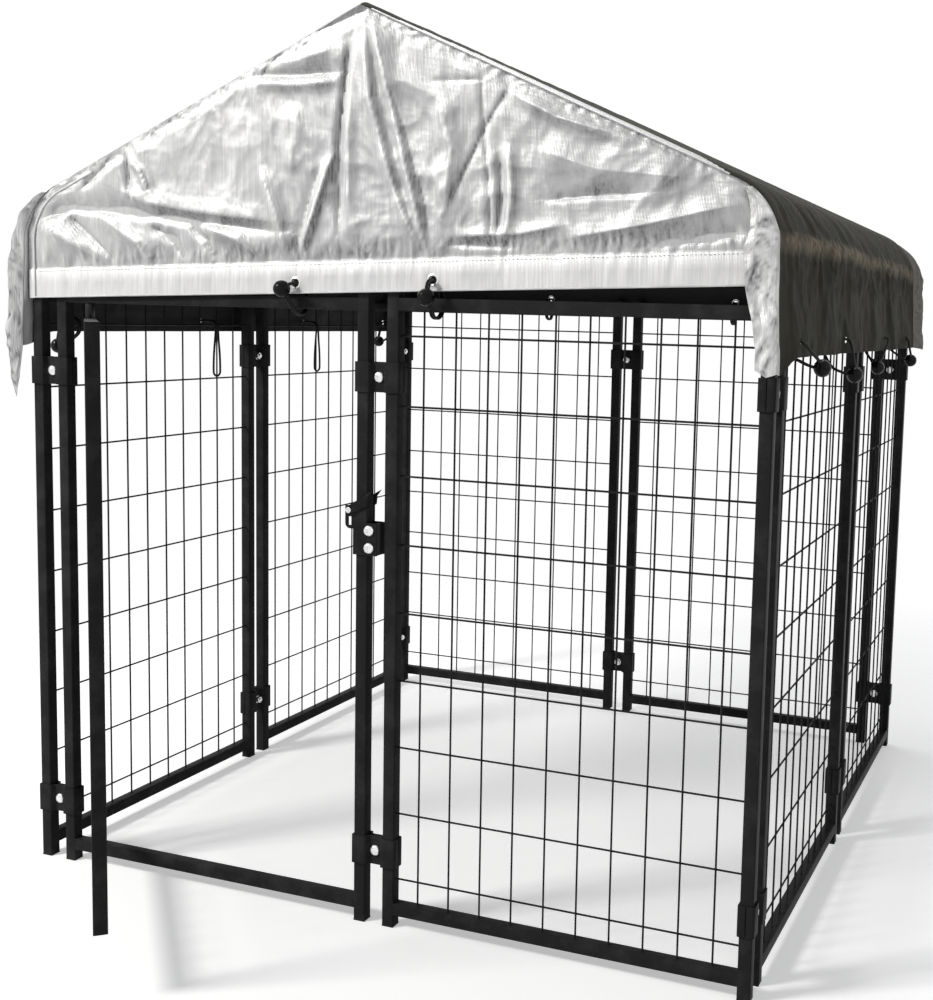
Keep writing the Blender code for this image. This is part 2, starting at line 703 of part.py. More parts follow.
RIGHT_EYELETS = [between_wires(*tie) for tie in RIGHT_TIES]
LEFT_EYELETS = [SPAN - between_wires(*tie) for tie in LEFT_TIES]
BACK_EYELETS = [SPAN - between_wires(*tie) for tie in BACK_TIES]
FRONT_EYELETS = [DOOR_RIGHT - TUBE - DOOR_TIE_IN, between_wires(*FRONT_TIE) + FRONT_TIE_SHIFT]


def smooth_step(low, high, value):
    t = min(1.0, max(0.0, (value - low) / (high - low)))
    return t * t * (3 - 2 * t)


def roof_line(valance_steps, slope_steps):
    """The cover's cross line from the left valance's edge over the ridge to the right one: (x, z, drop),
    where drop is 1 on the valance, 0 on the slope."""
    ridge, *bend = eave_line(SHEET_LINE)
    upright_x, upright_z = bend[-1]
    right = []
    for i in range(1, slope_steps):
        t = i / slope_steps
        right.append((ridge[0] + (bend[0][0] - ridge[0]) * t, ridge[1] + (bend[0][1] - ridge[1]) * t, 0.0))
    right += [(x, z, i / (len(bend) - 1)) for i, (x, z) in enumerate(bend)]
    for i in range(1, valance_steps + 1):
        right.append((upright_x, upright_z + (VALANCE_END - upright_z) * i / valance_steps, 1.0))
    left = [(2 * MIDDLE - x, z, drop) for x, z, drop in reversed(right)]
    return [*left, (*ridge, 0.0), *right]


def sheet_object(name, grid, finish, holes=()):
    """A closed sheet of cloth from a grid of points; a None leaves a gap in the grid."""
    shape = bmesh.new()
    points = [[shape.verts.new(p) if p is not None else None for p in line] for line in grid]
    for one, two in zip(points, points[1:]):
        for a, b, c, d in zip(one, one[1:], two[1:], two):
            corners = [v for v in (a, b, c, d) if v is not None]
            if len(corners) == 4:
                shape.faces.new(corners)
    bmesh.ops.recalc_face_normals(shape, faces=shape.faces)
    mesh = bpy.data.meshes.new(name)
    shape.to_mesh(mesh)
    shape.free()
    sheet = bpy.data.objects.new(name, mesh)
    KENNEL.objects.link(sheet)
    solid = sheet.modifiers.new("thickness", "SOLIDIFY")
    solid.thickness = SHEET
    solid.offset = 0.0
    solid.use_even_offset = True
    thick = evaluated_mesh(sheet, name)
    bpy.data.objects.remove(sheet)
    if holes:
        thick = combined(name, thick, (), holes)
    return place(name, round_shading(thick, 50), finish)


def wing_points(x, y, z, drop, sign, front, step):
    """A point of a corner wing, which carries the valance past the roof's end."""
    lower = smooth_step(EAVE_HEIGHT, VALANCE_END, z)
    if front and sign > 0:  # wrapped round the corner, across the front
        reach = WING * drop * (0.06, 0.50, 1.0)[step] * (1.0 - 0.35 * lower)
        ahead = (0.0045, 0.0075, 0.0085)[step] * drop
        fall = (0.012, 0.022, 0.010)[step] * lower
        return (x - 0.004 * drop - reach, y - ahead, z - fall)
    out = WING_OUT * (0.40, 0.75, 1.0)[step] * drop
    ahead = (0.006, 0.011, 0.014)[step] * drop
    fall = WING_TAIL * (1.0, 0.6, 0.0)[step] * lower if front else 0.004 * lower
    return (x + sign * out, y + (-ahead if front else ahead), z - fall)


def make_cover_roof():
    line = roof_line(4, 5)
    last = SPAN + ROOF_LIP
    stations = [-ROOF_LIP + (last + ROOF_LIP) * i / 12 for i in range(13)]
    grid = []
    for x, z, drop in line:
        sign = 1 if x > MIDDLE else -1
        across = abs(x - MIDDLE) / MIDDLE
        run = []
        for y in stations:
            v = (y + ROOF_LIP) / (last + ROOF_LIP)
            sag = ROOF_SAG * sin(pi * v) * sin(pi * min(1.0, across)) * (1 - drop)
            hang = smooth_step(EAVE_HEIGHT, VALANCE_END, z)
            wave = VALANCE_WAVE * (1 - cos(2 * pi * 6 * v)) * hang * (drop == 1.0)
            run.append((x + sign * (VALANCE_FLARE * hang + wave), y, z - sag))
        wing_row = drop > 0.2 and abs(x - MIDDLE) > 0.1
        before = [wing_points(*run[0], drop, sign, True, i) if wing_row else None for i in range(3)]
        after = [wing_points(*run[-1], drop, sign, False, i) if wing_row else None for i in range(3)]
        grid.append([*before[::-1], *run, *after])
    height = VALANCE_END + GROMMET_UP
    holes = []
    for x, places in ((-SHEET_LINE, LEFT_EYELETS), (SPAN + SHEET_LINE, RIGHT_EYELETS)):
        runs = [((x - TUBE, y, height), (x + TUBE, y, height), GROMMET_RADIUS) for y in places]
        holes.append(rods("valance holes", *runs, segments=8))
    sheet_object("cover_roof", grid, ROOF_CLOTH, holes)


def fold(x, z, start, end, width, height):
    """The swell of one fold that runs between two points of the flap."""
    start, end, point = Vector(start), Vector(end), Vector((x - MIDDLE, RIDGE_HEIGHT - z))
    along = end - start
    t = min(1.0, max(0.0, (point - start).dot(along) / along.length_squared))
    far = (point - (start + along * t)).length
    return height * exp(-((far / width) ** 2)) * sin(pi * (0.15 + 0.7 * t))


FRONT_FOLDS = (  # from and to, as right of the middle and down from the ridge; width and height
    ((0.000, 0.031), (0.115, 0.361), 0.022, 0.0060),
    ((-0.015, 0.041), (-0.111, 0.366), 0.024, 0.0045),
    ((0.040, 0.091), (0.230, 0.281), 0.030, 0.0050),
    ((-0.300, 0.181), (-0.120, 0.331), 0.028, 0.0045),
    ((-0.500, 0.281), (-0.200, 0.321), 0.024, 0.0040),
    ((0.300, 0.191), (0.520, 0.301), 0.026, 0.0050),
    ((0.160, 0.261), (0.500, 0.351), 0.022, 0.0040),
)
BACK_FOLDS = (
    ((0.000, 0.041), (-0.225, 0.371), 0.026, 0.0050),
    ((0.000, 0.041), (0.225, 0.371), 0.026, 0.0050),
    ((-0.400, 0.241), (-0.180, 0.361), 0.028, 0.0040),
    ((0.400, 0.241), (0.180, 0.361), 0.028, 0.0040),
)


def hem_height(x, left, right):
    return left + (right - left) * x / SPAN


def make_flap(name, y_plane, outward, hem_left, hem_right, folds, ties):
    """A gable flap: it hangs from just under the roof sheet to its hem."""
    inset = SHEET + GAP + 0.0006
    outline = eave_line(SHEET_OFF - inset, 6)
    right = [outline[0]]
    slope_steps = 11
    for i in range(1, slope_steps):
        t = i / slope_steps
        right.append(tuple(Vector(outline[0]).lerp(Vector(outline[1]), t)))
    right += outline[1:]
    tops = [(2 * MIDDLE - x, z) for x, z in reversed(right[1:])] + right
    rows = 9
    grid = []
    for x, top in tops:
        hem = hem_height(x, hem_left, hem_right)
        run = []
        for i in range(rows + 1):
            z = hem + (top - hem) * i / rows
            ease = smooth_step(0.0, 0.12, top - z) * smooth_step(-0.02, 0.05, min(x, SPAN - x))
            swell = sum(fold(x, z, *one) for one in folds) * ease
            run.append((x, y_plane + outward * (SHEET / 2 + min(swell, 0.0065)), z))
        grid.append(run)
    holes = []
    for x in ties:
        height = hem_height(x, hem_left, hem_right) + HEM_GROMMET_UP
        holes.append(((x, y_plane - TUBE, height), (x, y_plane + TUBE, height), GROMMET_RADIUS))
    sheet_object(name, grid, FLAP_CLOTH, (rods(name + " holes", *holes, segments=8),))


def smooth_route(points, steps):
    """A smooth open curve through points, as many straight steps between each two."""
    points = [Vector(p) for p in points]
    points = [points[0] * 2 - points[1], *points, points[-1] * 2 - points[-2]]
    route = []
    for p0, p1, p2, p3 in zip(points, points[1:], points[2:], points[3:]):
        for j in range(steps):
            t = j / steps
            bend = (2 * p0 - 5 * p1 + 4 * p2 - p3) * t**2 + (3 * p1 - p0 - 3 * p2 + p3) * t**3
            route.append((2 * p1 + (p2 - p0) * t + bend) / 2)
    return [*route, points[-2]]


def tie_mesh(name, ball, points):
    """An elastic loop whose two ends are held in a ball. Points are (outward, up, along the row)."""
    loop = [(along, -out, up) for out, up, along in points]
    cord = tubes(name, [smooth_route(loop, 2)], CORD_RADIUS, 0)
    shape = bmesh.new()
    out, up, along = ball
    bmesh.ops.create_uvsphere(
        shape,
        u_segments=10,
        v_segments=7,
        radius=BALL_RADIUS,
        matrix=Matrix.Translation((along, -out, up)),
    )
    sphere = bpy.data.meshes.new(name + " ball")
    shape.to_mesh(sphere)
    shape.free()
    return round_shading(combined(name, sphere, (cord,)), 60)


def side_tie(name, out, up, along):
    """Through the valance's eyelet, round the top level wire and back under the valance to the ball."""
    eye = VALANCE_END + GROMMET_UP
    points = [
        (out + 0.002, up + 0.003, along),
        (max(out, 0.030) + 0.003, (up + eye) / 2 + 0.004, along * 0.5),
        (0.026, eye - 0.001, 0.0),
        (0.012, eye + 0.001, 0.0),
        (0.000, eye + 0.0015, 0.0),
        (-0.009, eye - 0.003, 0.0),
        (-0.0115, eye - 0.013, 0.0),
        (-0.007, eye - 0.024, 0.0),
        (0.0065, up + 0.011, along * 0.05),
        (out / 2, up + 0.004, along * 0.5),
        (out - 0.006, up - 0.001, along),
    ]
    return tie_mesh(name, (out, up, along), points)


def slack_tie(name, out):
    """The ball rests on the eyelet outside, and the loop hangs inside, its two strands side by side along
    the panel."""
    eye = VALANCE_END + GROMMET_UP
    low = eye - SLACK
    inside = -SLACK_IN
    side = CORD_RADIUS * 1.2
    half = [
        (out - 0.003, eye, side),
        (0.018, eye, side),
        (0.004, eye, side),
        (inside + 0.011, eye - 0.0008, side * 1.1),
        (inside + 0.0030, eye - 0.0045, side * 1.2),
        (inside, eye - 0.014, side * 1.4),
        (inside, eye - 0.036, SLACK_ROUND * 0.55),
        (inside, low + 0.040, SLACK_ROUND * 0.90),
        (inside, low + SLACK_ROUND, SLACK_ROUND),
        (inside, low + SLACK_ROUND * 0.29, SLACK_ROUND * 0.71),
    ]
    points = [*half, (inside, low, 0.0), *[(o, up, -along) for o, up, along in reversed(half)]]
    return tie_mesh(name, (out, eye, 0.0), points)


def end_tie(name, out, up, along, eye):
    """Through a gable flap's eyelet, round the top rail and back under the hem to the ball."""
    under = RAIL_TOP - TUBE
    points = [
        (out, up + 0.003, along),
        (out - 0.008, eye - 0.003, along * 0.5),
        (FLAP_OFF + 0.001, eye, 0.0),
        (0.003, eye - 0.001, 0.0),
        (-0.008, eye - 0.008, 0.0),
        (-0.0145, RAIL_TOP + 0.002, 0.0),
        (-0.0155, RAIL_TOP - 0.010, 0.0),
        (-0.012, under - 0.003, 0.0),
        (0.000, under - 0.009, 0.0),
        (0.014, under - 0.008, 0.0),
        (0.026, under, along * 0.6),
        (out + 0.001, up - 0.006, along),
    ]
    return tie_mesh(name, (out, up, along), points)


def make_ties():
    """Elastic loops through the cover's eyelets; two on the left hang slack inside."""
    for number, (y, (out, down, along)) in enumerate(zip(RIGHT_EYELETS, RIGHT_BALLS), 1):
        name = f"tie_right_{number}"
        mesh = side_tie(name, out, VALANCE_END - down, along)
        place(name, mesh, ELASTIC, row_matrix(1) @ Matrix.Translation((y, 0, 0)))
    for number, y in enumerate(LEFT_EYELETS, 1):
        name = f"tie_left_{number}"
        if number in LEFT_SLACK:
            mesh = slack_tie(name, SLACK_BALL_OUT)
        else:
            mesh = side_tie(name, BALL_OUT, VALANCE_END - TIE_DROP, 0.0)
        place(name, mesh, ELASTIC, row_matrix(3) @ Matrix.Translation((SPAN - y, 0, 0)))
    for number, (x, (out, up, along)) in enumerate(zip(FRONT_EYELETS, FRONT_BALLS), 1):
        name = f"tie_front_{number}"
        hem = hem_height(x, HEM_LEFT, HEM_RIGHT)
        mesh = end_tie(name, out, hem + up, along, hem + HEM_GROMMET_UP)
        place(name, mesh, ELASTIC, Matrix.Translation((x, 0, 0)))
    for number, x in enumerate(BACK_EYELETS, 1):
        name = f"tie_back_{number}"
        mesh = end_tie(name, BALL_OUT, HEM_BACK, 0.0, HEM_BACK + HEM_GROMMET_UP)
        place(name, mesh, ELASTIC, row_matrix(2) @ Matrix.Translation((SPAN - x, 0, 0)))


clear_scene()
KENNEL = new_collection("dog_kennel")
CUTTERS = new_collection("cutters")
make_panels()
make_door_frame()
make_gate()
make_clamps()
make_latch()
make_roof_frame()
make_cover_roof()
make_flap("cover_front_flap", -FLAP_OFF, -1, HEM_LEFT, HEM_RIGHT, FRONT_FOLDS, FRONT_EYELETS)
make_flap("cover_back_flap", SPAN + FLAP_OFF, 1, HEM_BACK, HEM_BACK, BACK_FOLDS, BACK_EYELETS)
make_ties()
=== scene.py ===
"""A square wire dog kennel with a silver gable cover, its gate standing open. Metres, +Z up.

X runs along the front to the right, Y to the back, and the origin is the middle of the foot of the front
left corner post. Each side is a row of two panels, laid out along X and turned about the plan's middle.
"""

import json
from math import cos, exp, hypot, pi, radians, sin, tan

import bmesh
import bpy
from mathutils import Matrix, Vector, noise

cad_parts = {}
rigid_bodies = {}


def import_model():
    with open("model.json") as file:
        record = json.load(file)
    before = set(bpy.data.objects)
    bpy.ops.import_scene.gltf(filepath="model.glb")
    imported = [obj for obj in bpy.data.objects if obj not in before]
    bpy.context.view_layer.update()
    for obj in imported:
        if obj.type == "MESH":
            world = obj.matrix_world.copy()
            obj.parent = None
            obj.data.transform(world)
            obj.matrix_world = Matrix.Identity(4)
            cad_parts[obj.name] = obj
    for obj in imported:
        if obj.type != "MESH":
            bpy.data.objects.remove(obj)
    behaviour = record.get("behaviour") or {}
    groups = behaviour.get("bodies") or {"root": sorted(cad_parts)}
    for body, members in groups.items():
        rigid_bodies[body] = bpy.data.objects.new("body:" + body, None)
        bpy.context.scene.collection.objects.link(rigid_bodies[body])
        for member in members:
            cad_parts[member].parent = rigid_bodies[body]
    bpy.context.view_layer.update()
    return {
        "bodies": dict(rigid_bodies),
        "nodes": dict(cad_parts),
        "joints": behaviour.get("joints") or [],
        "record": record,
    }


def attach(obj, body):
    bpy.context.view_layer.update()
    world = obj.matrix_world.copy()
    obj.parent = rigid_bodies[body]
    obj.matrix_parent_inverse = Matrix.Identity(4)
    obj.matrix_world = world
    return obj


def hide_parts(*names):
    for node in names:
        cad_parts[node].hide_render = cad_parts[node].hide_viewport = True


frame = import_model()
NODES = frame["nodes"]
noise.seed_set(3)  # the crumples would start from the time of day otherwise

# Panels
TUBE = 0.019
HALF = TUBE / 2
TUBE_ROUND = 0.0018
TUBE_WALL = 0.0012
PANEL_WIDTH = 0.570
POST_HEIGHT = 0.960
PLUG_OUT = 0.0022  # of a foot plug below its post
RAIL_LOW = 0.019
RAIL_TOP = 0.941
ROW_START = 0.0395
SECOND_PANEL = 0.6395
SPAN = 1.200
MIDDLE = SPAN / 2
WIRE = 0.003
WIRE_ACROSS = 0.0508
WIRE_UP = 0.1016
WIRE_IN = 0.002  # of a wire's end into the tube
WELD_OFF = 0.0012  # of a wire's middle from the panel's middle plane

# Gate
GATE_AXIS = 0.0975
GATE_WIDTH = 0.4825
GATE_LOW = 0.092
GATE_TOP = 0.898
GATE_OPEN = 48

# Clamps
PLATE = 0.0025
CLAMP_HEIGHT = 0.044
CLAMP_LOW = 0.114
CLAMP_HIGH = 0.826
CLAMP_CORNER = 0.0245
CLAMP_MIDDLE = 0.6245
CLAMP_LOWERED = 0.013  # by which the front left corner's clamps sit below the rest

# Latch
LATCH_BOLT = 0.6141
LATCH_FACE = 0.0126  # of the latch's plates from the panel's middle plane

# Roof and cover
ROOF_PITCH = 24
RIDGE_HEIGHT = 1.341
EAVE_RADIUS = 0.090
SHEET_LINE = 0.01225  # of the roof sheet above the rafters' line
CLOTH_THICK = 0.0009
ROOF_LIP = 0.022
DARK_LIP = 0.30  # how far the lip's dark cloth reaches from the ridge, getting narrower
EAVE_CREASE = 1.034  # height of the crease along each eave
FULL_STEPS = (34, 64, 24)  # of the roof's line down a valance, along a slope and round an eave
WING = 0.042  # of the front right wing across the front
WING_OUT = 0.018  # of the other wings from the valance
WING_TAIL = 0.085  # of the front left wing below the valance's edge
VALANCE_END = 0.874
HEM_LEFT = 0.928
HEM_RIGHT = 0.966
HEM_BACK = 0.945
FLAP_OUT = 0.0125  # of a flap's plane from the posts' middle plane
FLAP_GAP = 0.0010  # between that plane and the cloth where it lies flat
SEAM_OUT = 0.0030  # of the flaps' stitches and piping from that plane
VALANCE_OUT = 0.0175  # of the valances' eyelets from the posts' middle plane
EYE = 0.895  # height of the valances' eyelets
RIGHT_EYELETS = (0.0772, 0.4261, 0.8229, 1.0769)
LEFT_EYELETS = (0.0723, 0.4279, 0.7739, 1.1228)
BACK_EYELETS = (0.8247, 0.3771)
FRONT_EYELETS = (0.4890, 0.7153)
EYELET_UP = 0.016  # of the flaps' eyelets above the hem
EYELET_HOLE = 0.0052
HEM_BAND = 0.046  # of the flaps' doubled hem
VALANCE_BAND = 0.030

# Camera
CAMERA_PLACE = (1.6064, -1.6900, 0.9198)
CAMERA_YAW = 20.686
CAMERA_PITCH = -6.111
CAMERA_ROLL = 1.512
PICTURE_WIDE, PICTURE_HIGH = 933, 1000.0
FOCAL = 1326.7  # in pixels, as is the centre
CENTRE = (600.0, 460.0)
SENSOR = 36.0


def camera_axes():
    """The ways ahead of the camera, to the right in its picture and up in it."""
    yaw, pitch, roll = radians(CAMERA_YAW), radians(CAMERA_PITCH), radians(CAMERA_ROLL)
    ahead = Vector((-sin(yaw) * cos(pitch), cos(yaw) * cos(pitch), sin(pitch)))
    right = Vector((cos(yaw), sin(yaw), 0.0))
    up = right.cross(ahead)
    return ahead, right * cos(roll) + up * sin(roll), up * cos(roll) - right * sin(roll)


def make_camera():
    ahead, side, top = camera_axes()
    lens = bpy.data.cameras.new("camera")
    camera = linked(bpy.data.objects.new("camera", lens))
    turn = Matrix((side, top, -ahead)).transposed().to_4x4()
    camera.matrix_world = Matrix.Translation(CAMERA_PLACE) @ turn
    lens.sensor_width = SENSOR
    lens.lens = FOCAL * SENSOR / PICTURE_HIGH
    lens.shift_x = (PICTURE_WIDE / 2 - CENTRE[0]) / PICTURE_HIGH
    lens.shift_y = (CENTRE[1] - PICTURE_HIGH / 2) / PICTURE_HIGH
    lens.clip_start = 0.05
    lens.clip_end = 60.0
    bpy.context.scene.camera = camera
    bpy.context.scene.view_settings.view_transform = "Standard"


def make_lights():
    """Three large soft lamps and a pale surround, which is seen as white."""
    for name, place, aim, size, power, colour in (
        ("key lamp", (-2.2, -2.6, 3.6), (0.5, 0.1, 1.0), 1.1, 178, (1.0, 0.99, 0.97)),
        ("side lamp", (4.2, -0.9, 2.2), (0.9, 0.4, 0.8), 1.6, 9, (0.97, 0.98, 1.0)),
        ("top lamp", (0.4, 1.6, 4.2), (0.6, 0.6, 1.0), 2.2, 55, (1.0, 1.0, 1.0)),
    ):
        lamp = bpy.data.lights.new(name, "AREA")
        lamp.shape = "DISK"
        lamp.size = size
        lamp.energy = power
        lamp.color = colour
        thing = linked(bpy.data.objects.new(name, lamp))
        thing.location = place
        thing.rotation_euler = (Vector(aim) - Vector(place)).to_track_quat("-Z", "Y").to_euler()

    world = bpy.data.worlds.new("studio")
    bpy.context.scene.world = world
    world.use_nodes = True
    nodes = Nodes(world.node_tree)
    plain = nodes.fill(nodes.tree.nodes["Background"], {"Color": (0.95, 0.97, 1.0, 1.0), "Strength": 0.18})
    white = nodes.add("Background", {"Color": (1.0, 1.0, 1.0, 1.0), "Strength": 1.0})
    mix = nodes.add("MixShader", {"Fac": nodes.seen_rays(), 1: plain.outputs[0], 2: white})
    nodes.fill(nodes.tree.nodes["World Output"], {"Surface": mix})


# Materials


class Nodes:
    """A node tree, with short ways to add and join nodes."""

    def __init__(self, tree):
        self.tree = tree

    def fill(self, node, inputs):
        """Sets a node's inputs, each to a value or to another node's output."""
        for socket, value in inputs.items():
            if isinstance(value, bpy.types.NodeSocket):
                self.tree.links.new(value, node.inputs[socket])
            else:
                node.inputs[socket].default_value = value
        return node

    def add(self, kind, inputs, output=0, **options):
        """Adds a node with its options and inputs, and gives one of its outputs."""
        node = self.tree.nodes.new("ShaderNode" + kind)
        for option, value in options.items():
            setattr(node, option, value)
        return self.fill(node, inputs).outputs[output]

    def math(self, operation, one, two):
        return self.add("Math", {0: one, 1: two}, operation=operation)

    def seen_rays(self):
        """1 for the rays by which the surround or the floor itself is seen."""
        path = self.tree.nodes.new("ShaderNodeLightPath").outputs
        value = path["Is Camera Ray"]
        for other in ("Is Glossy Ray", "Is Transmission Ray"):
            value = self.math("MAXIMUM", value, path[other])
        return value


class Finish(Nodes):
    """A material, with the patterns that its colour, roughness and bumps are made of."""

    def __init__(self, name):
        self.material = bpy.data.materials.new(name)
        self.material.use_nodes = True
        super().__init__(self.material.node_tree)
        self.shader = self.tree.nodes["Principled BSDF"]
        self.object = self.add("TexCoord", {}, "Object")

    def stretched(self, scale, source=None):
        return self.add("Mapping", {"Scale": scale, "Vector": source or self.object})

    def cloud(self, scale, detail=3.0, rough=0.55, source=None, bend=0.0):
        inputs = {"Scale": scale, "Detail": detail, "Roughness": rough, "Distortion": bend}
        return self.add("TexNoise", {**inputs, "Vector": source or self.object})

    def ridges(self, scale, source=None, detail=4.0):
        inputs = {"Scale": scale, "Detail": detail, "Vector": source or self.object}
        return self.add("TexNoise", inputs, noise_type="RIDGED_MULTIFRACTAL")

    def bands(self, scale, direction, source=None, bend=0.0):
        inputs = {"Scale": scale, "Distortion": bend, "Vector": source or self.object}
        return self.add("TexWave", inputs, "Fac", bands_direction=direction)

    def ribs(self, direction, bend=1.2):
        return self.bands(150.0, direction, self.stretched((1.0, 1.0, 0.02)), bend)

    def woven(self, ribs):
        """The cloth's rows of yarn across its ribs."""
        return self.math("MULTIPLY", ribs, self.math("ADD", self.bands(190.0, "Z", bend=0.6), 0.8))

    def ranged(self, value, low, high, first=0.0, last=1.0):
        ends = {"From Min": low, "From Max": high, "To Min": first, "To Max": last}
        return self.add("MapRange", {"Value": value, **ends})

    def tinted(self, fac, first, last):
        """A colour between two, by a factor."""
        first, last = ((*colour, 1.0) if isinstance(colour, tuple) else colour for colour in (first, last))
        return self.add("Mix", {0: fac, 6: first, 7: last}, 2, data_type="RGBA")

    def fold_shading(self):
        """The sheet's map of painted crease shading: 0 is painted shade in a crease, 1 is a painted highlight
        on a crest.
        """
        return self.add("Attribute", {}, "Fac", attribute_name="fold_shading")

    def made(self, colour, roughness, bumps=(), **values):
        """The material, with bumps one over the other, each (height, distance in metres, strength)."""
        looks = {"Base Color": colour, "Roughness": roughness}
        looks.update({key.replace("_", " "): value for key, value in values.items()})
        for height, distance, strength in bumps:
            layer = {"Height": height, "Distance": distance, "Strength": strength}
            if "Normal" in looks:
                layer["Normal"] = looks["Normal"]
            looks["Normal"] = self.add("Bump", layer)
        self.fill(self.shader, looks)
        return self.material


def painted_steel():
    """Satin black powder coat: fine orange peel, a little dust, dull scuffs."""
    paint = Finish("satin black powder coat")
    dust = paint.cloud(26.0, 5.0, 0.6)
    base = paint.tinted(paint.ranged(dust, 0.45, 0.75), (0.026, 0.026, 0.0265), (0.048, 0.048, 0.049))
    worn = paint.tinted(paint.ranged(paint.ridges(60.0), 1.25, 1.6), base, (0.085, 0.085, 0.086))
    bumps = (paint.cloud(900.0, 2.0), 0.00035, 0.35), (paint.cloud(140.0, 2.0), 0.0006, 0.25)
    return paint.made(worn, paint.ranged(dust, 0.3, 0.7, 0.28, 0.40), bumps, Specular_IOR_Level=0.012)


def bright_zinc():
    zinc = Finish("bright zinc plate")
    spangle = zinc.add("TexVoronoi", {"Scale": 420.0, "Vector": zinc.object})
    haze = zinc.cloud(90.0, 4.0)
    tone = zinc.tinted(haze, (0.72, 0.73, 0.74), (0.90, 0.90, 0.88))
    rough = zinc.ranged(spangle, 0.0, 0.8, 0.16, 0.34)
    return zinc.made(tone, rough, [(haze, 0.0003, 0.3)], Metallic=1.0)


MOULDED_BLACK = (0.006, 0.006, 0.006), (0.014, 0.014, 0.014)


def moulded_plastic():
    plastic = Finish("moulded black plastic")
    flow = plastic.cloud(60.0)
    rough = plastic.ranged(flow, 0.3, 0.7, 0.30, 0.46)
    bumps = [(plastic.cloud(1400.0, 2.0), 0.0002, 0.3)]
    return plastic.made(plastic.tinted(flow, *MOULDED_BLACK), rough, bumps, Specular_IOR_Level=0.25)


def glossy_ball():
    ball = Finish("glossy black ball")
    flow = ball.cloud(120.0)
    return ball.made(
        ball.tinted(flow, *MOULDED_BLACK), ball.ranged(flow, 0.3, 0.7, 0.10, 0.22), [(flow, 0.0004, 0.25)],
        Specular_IOR_Level=0.08, Coat_Weight=0.05, Coat_Roughness=0.08,
    )


BRAID = 4 * 2 * pi / 10  # scale at which a wave texture has four bands to a unit


def braided_elastic():
    """Fine braid that follows the cord by its own map: across goes round, along goes down its length."""
    cord = Finish("braided black elastic")
    uv = cord.add("UVMap", {})
    strands = (cord.bands(BRAID, "DIAGONAL", cord.stretched((way, 0.5, 1.0), uv)) for way in (1.0, -1.0))
    braid = cord.math("MAXIMUM", *strands)
    return cord.made(
        cord.tinted(braid, (0.004, 0.004, 0.004), (0.020, 0.020, 0.021)), 0.62, [(braid, 0.0005, 0.5)],
        Specular_IOR_Level=0.15, Sheen_Weight=0.05, Sheen_Roughness=0.4,
    )


def silver_cloth(name, dark, middle, highlight, crush):
    """Woven cloth with a silver coat, with painted shade in its creases and painted highlights on its crests
    and on sides that lean up and left.
    """
    cloth = Finish(name)
    weave = cloth.woven(cloth.math("ADD", cloth.ribs("X"), cloth.ribs("Y")))
    streak = cloth.cloud(1.0, 3.0, 0.6, cloth.stretched((300.0, 300.0, 7.0)))
    patch = cloth.cloud(6.0, 4.0, 0.6)
    fold_shading = cloth.math("ADD", cloth.fold_shading(), cloth.ranged(patch, 0.3, 0.7, -0.07, 0.07))
    warmed = tuple(v * w for v, w in zip(middle, (1.0, 0.985, 0.96)))
    warm = cloth.tinted(cloth.cloud(3.0, 2.0), middle, warmed)
    # painted shade: the dark colour fills the creases; painted highlight: the highlight colour covers crests
    # and sides that lean up and left
    creased = cloth.tinted(cloth.ranged(fold_shading, 0.05, 0.50), dark, warm)
    highlighted = cloth.tinted(cloth.ranged(fold_shading, 0.50, 0.95), creased, highlight)
    faint = tuple(v * 0.80 for v in middle)
    tone = cloth.tinted(cloth.ranged(streak, 0.35, 0.65, 0.65, 0.0), highlighted, faint)
    plain = cloth.stretched((1.0, 1.0, 0.6))
    push = cloth.add("TexNoise", {"Scale": 7.0, "Vector": plain}, "Color")
    bent = cloth.add("VectorMath", {0: push, 1: (0.10, 0.10, 0.10), 2: plain}, operation="MULTIPLY_ADD")
    fine = cloth.cloud(1.0, 2.0, 0.5, cloth.stretched((200.0, 200.0, 14.0)))
    bumps = (
        (cloth.ridges(10.0, bent, 3.0), 0.0045, 0.55 * crush),
        (cloth.ridges(34.0, bent, 3.0), 0.0014, 0.35 * crush),
        (fine, 0.0010, 0.35),
        (weave, 0.0003, 0.30),
    )
    rough = cloth.ranged(streak, 0.3, 0.7, 0.33, 0.46)
    return cloth.made(tone, rough, bumps, Metallic=0.25, Specular_IOR_Level=0.40)


def dark_cloth():
    """The coated cloth of the roof: olive black, with a painted warm glint on its crests, along the eave
    creases and along the ridge.
    """
    cloth = Finish("olive black coated cloth")
    streak = cloth.cloud(1.0, 3.0, 0.6, cloth.stretched((200.0, 260.0, 6.0)))
    patch = cloth.cloud(6.0, 4.0, 0.6)
    tone = cloth.tinted(cloth.ranged(streak, 0.3, 0.7), (0.034, 0.034, 0.0265), (0.050, 0.048, 0.037))
    shade = cloth.tinted(cloth.ranged(patch, 0.4, 0.7, 0.0, 0.5), tone, (0.078, 0.072, 0.055))
    # painted glint: warm tan where the crease shading is high
    highlighted = cloth.tinted(cloth.ranged(cloth.fold_shading(), 0.58, 1.0, 0.0, 0.9), shade, (0.36, 0.31, 0.22))
    soft = cloth.cloud(13.0, 3.0, 0.5, cloth.stretched((1.0, 1.0, 0.7)), 0.6)
    small = cloth.ridges(30.0, cloth.stretched((1.0, 1.0, 0.6)), 3.0)
    return cloth.made(
        highlighted, cloth.ranged(streak, 0.3, 0.7, 0.36, 0.50),
        ((soft, 0.0080, 0.5), (small, 0.0012, 0.25), (cloth.woven(cloth.ribs("Y")), 0.0003, 0.35)),
        Specular_IOR_Level=0.005, Specular_Tint=(1.0, 0.92, 0.76, 1.0),
    )


def black_lining():
    lining = Finish("black lining")
    weave = lining.math("ADD", *(lining.bands(150.0, way, bend=1.0) for way in "XY"))
    tone = lining.tinted(lining.cloud(12.0, 4.0), (0.004, 0.004, 0.004), (0.011, 0.011, 0.011))
    bumps = (lining.ridges(24.0, detail=3.0), 0.003, 0.3), (weave, 0.0003, 0.4)
    return lining.made(tone, 0.62, bumps, Specular_IOR_Level=0.25)


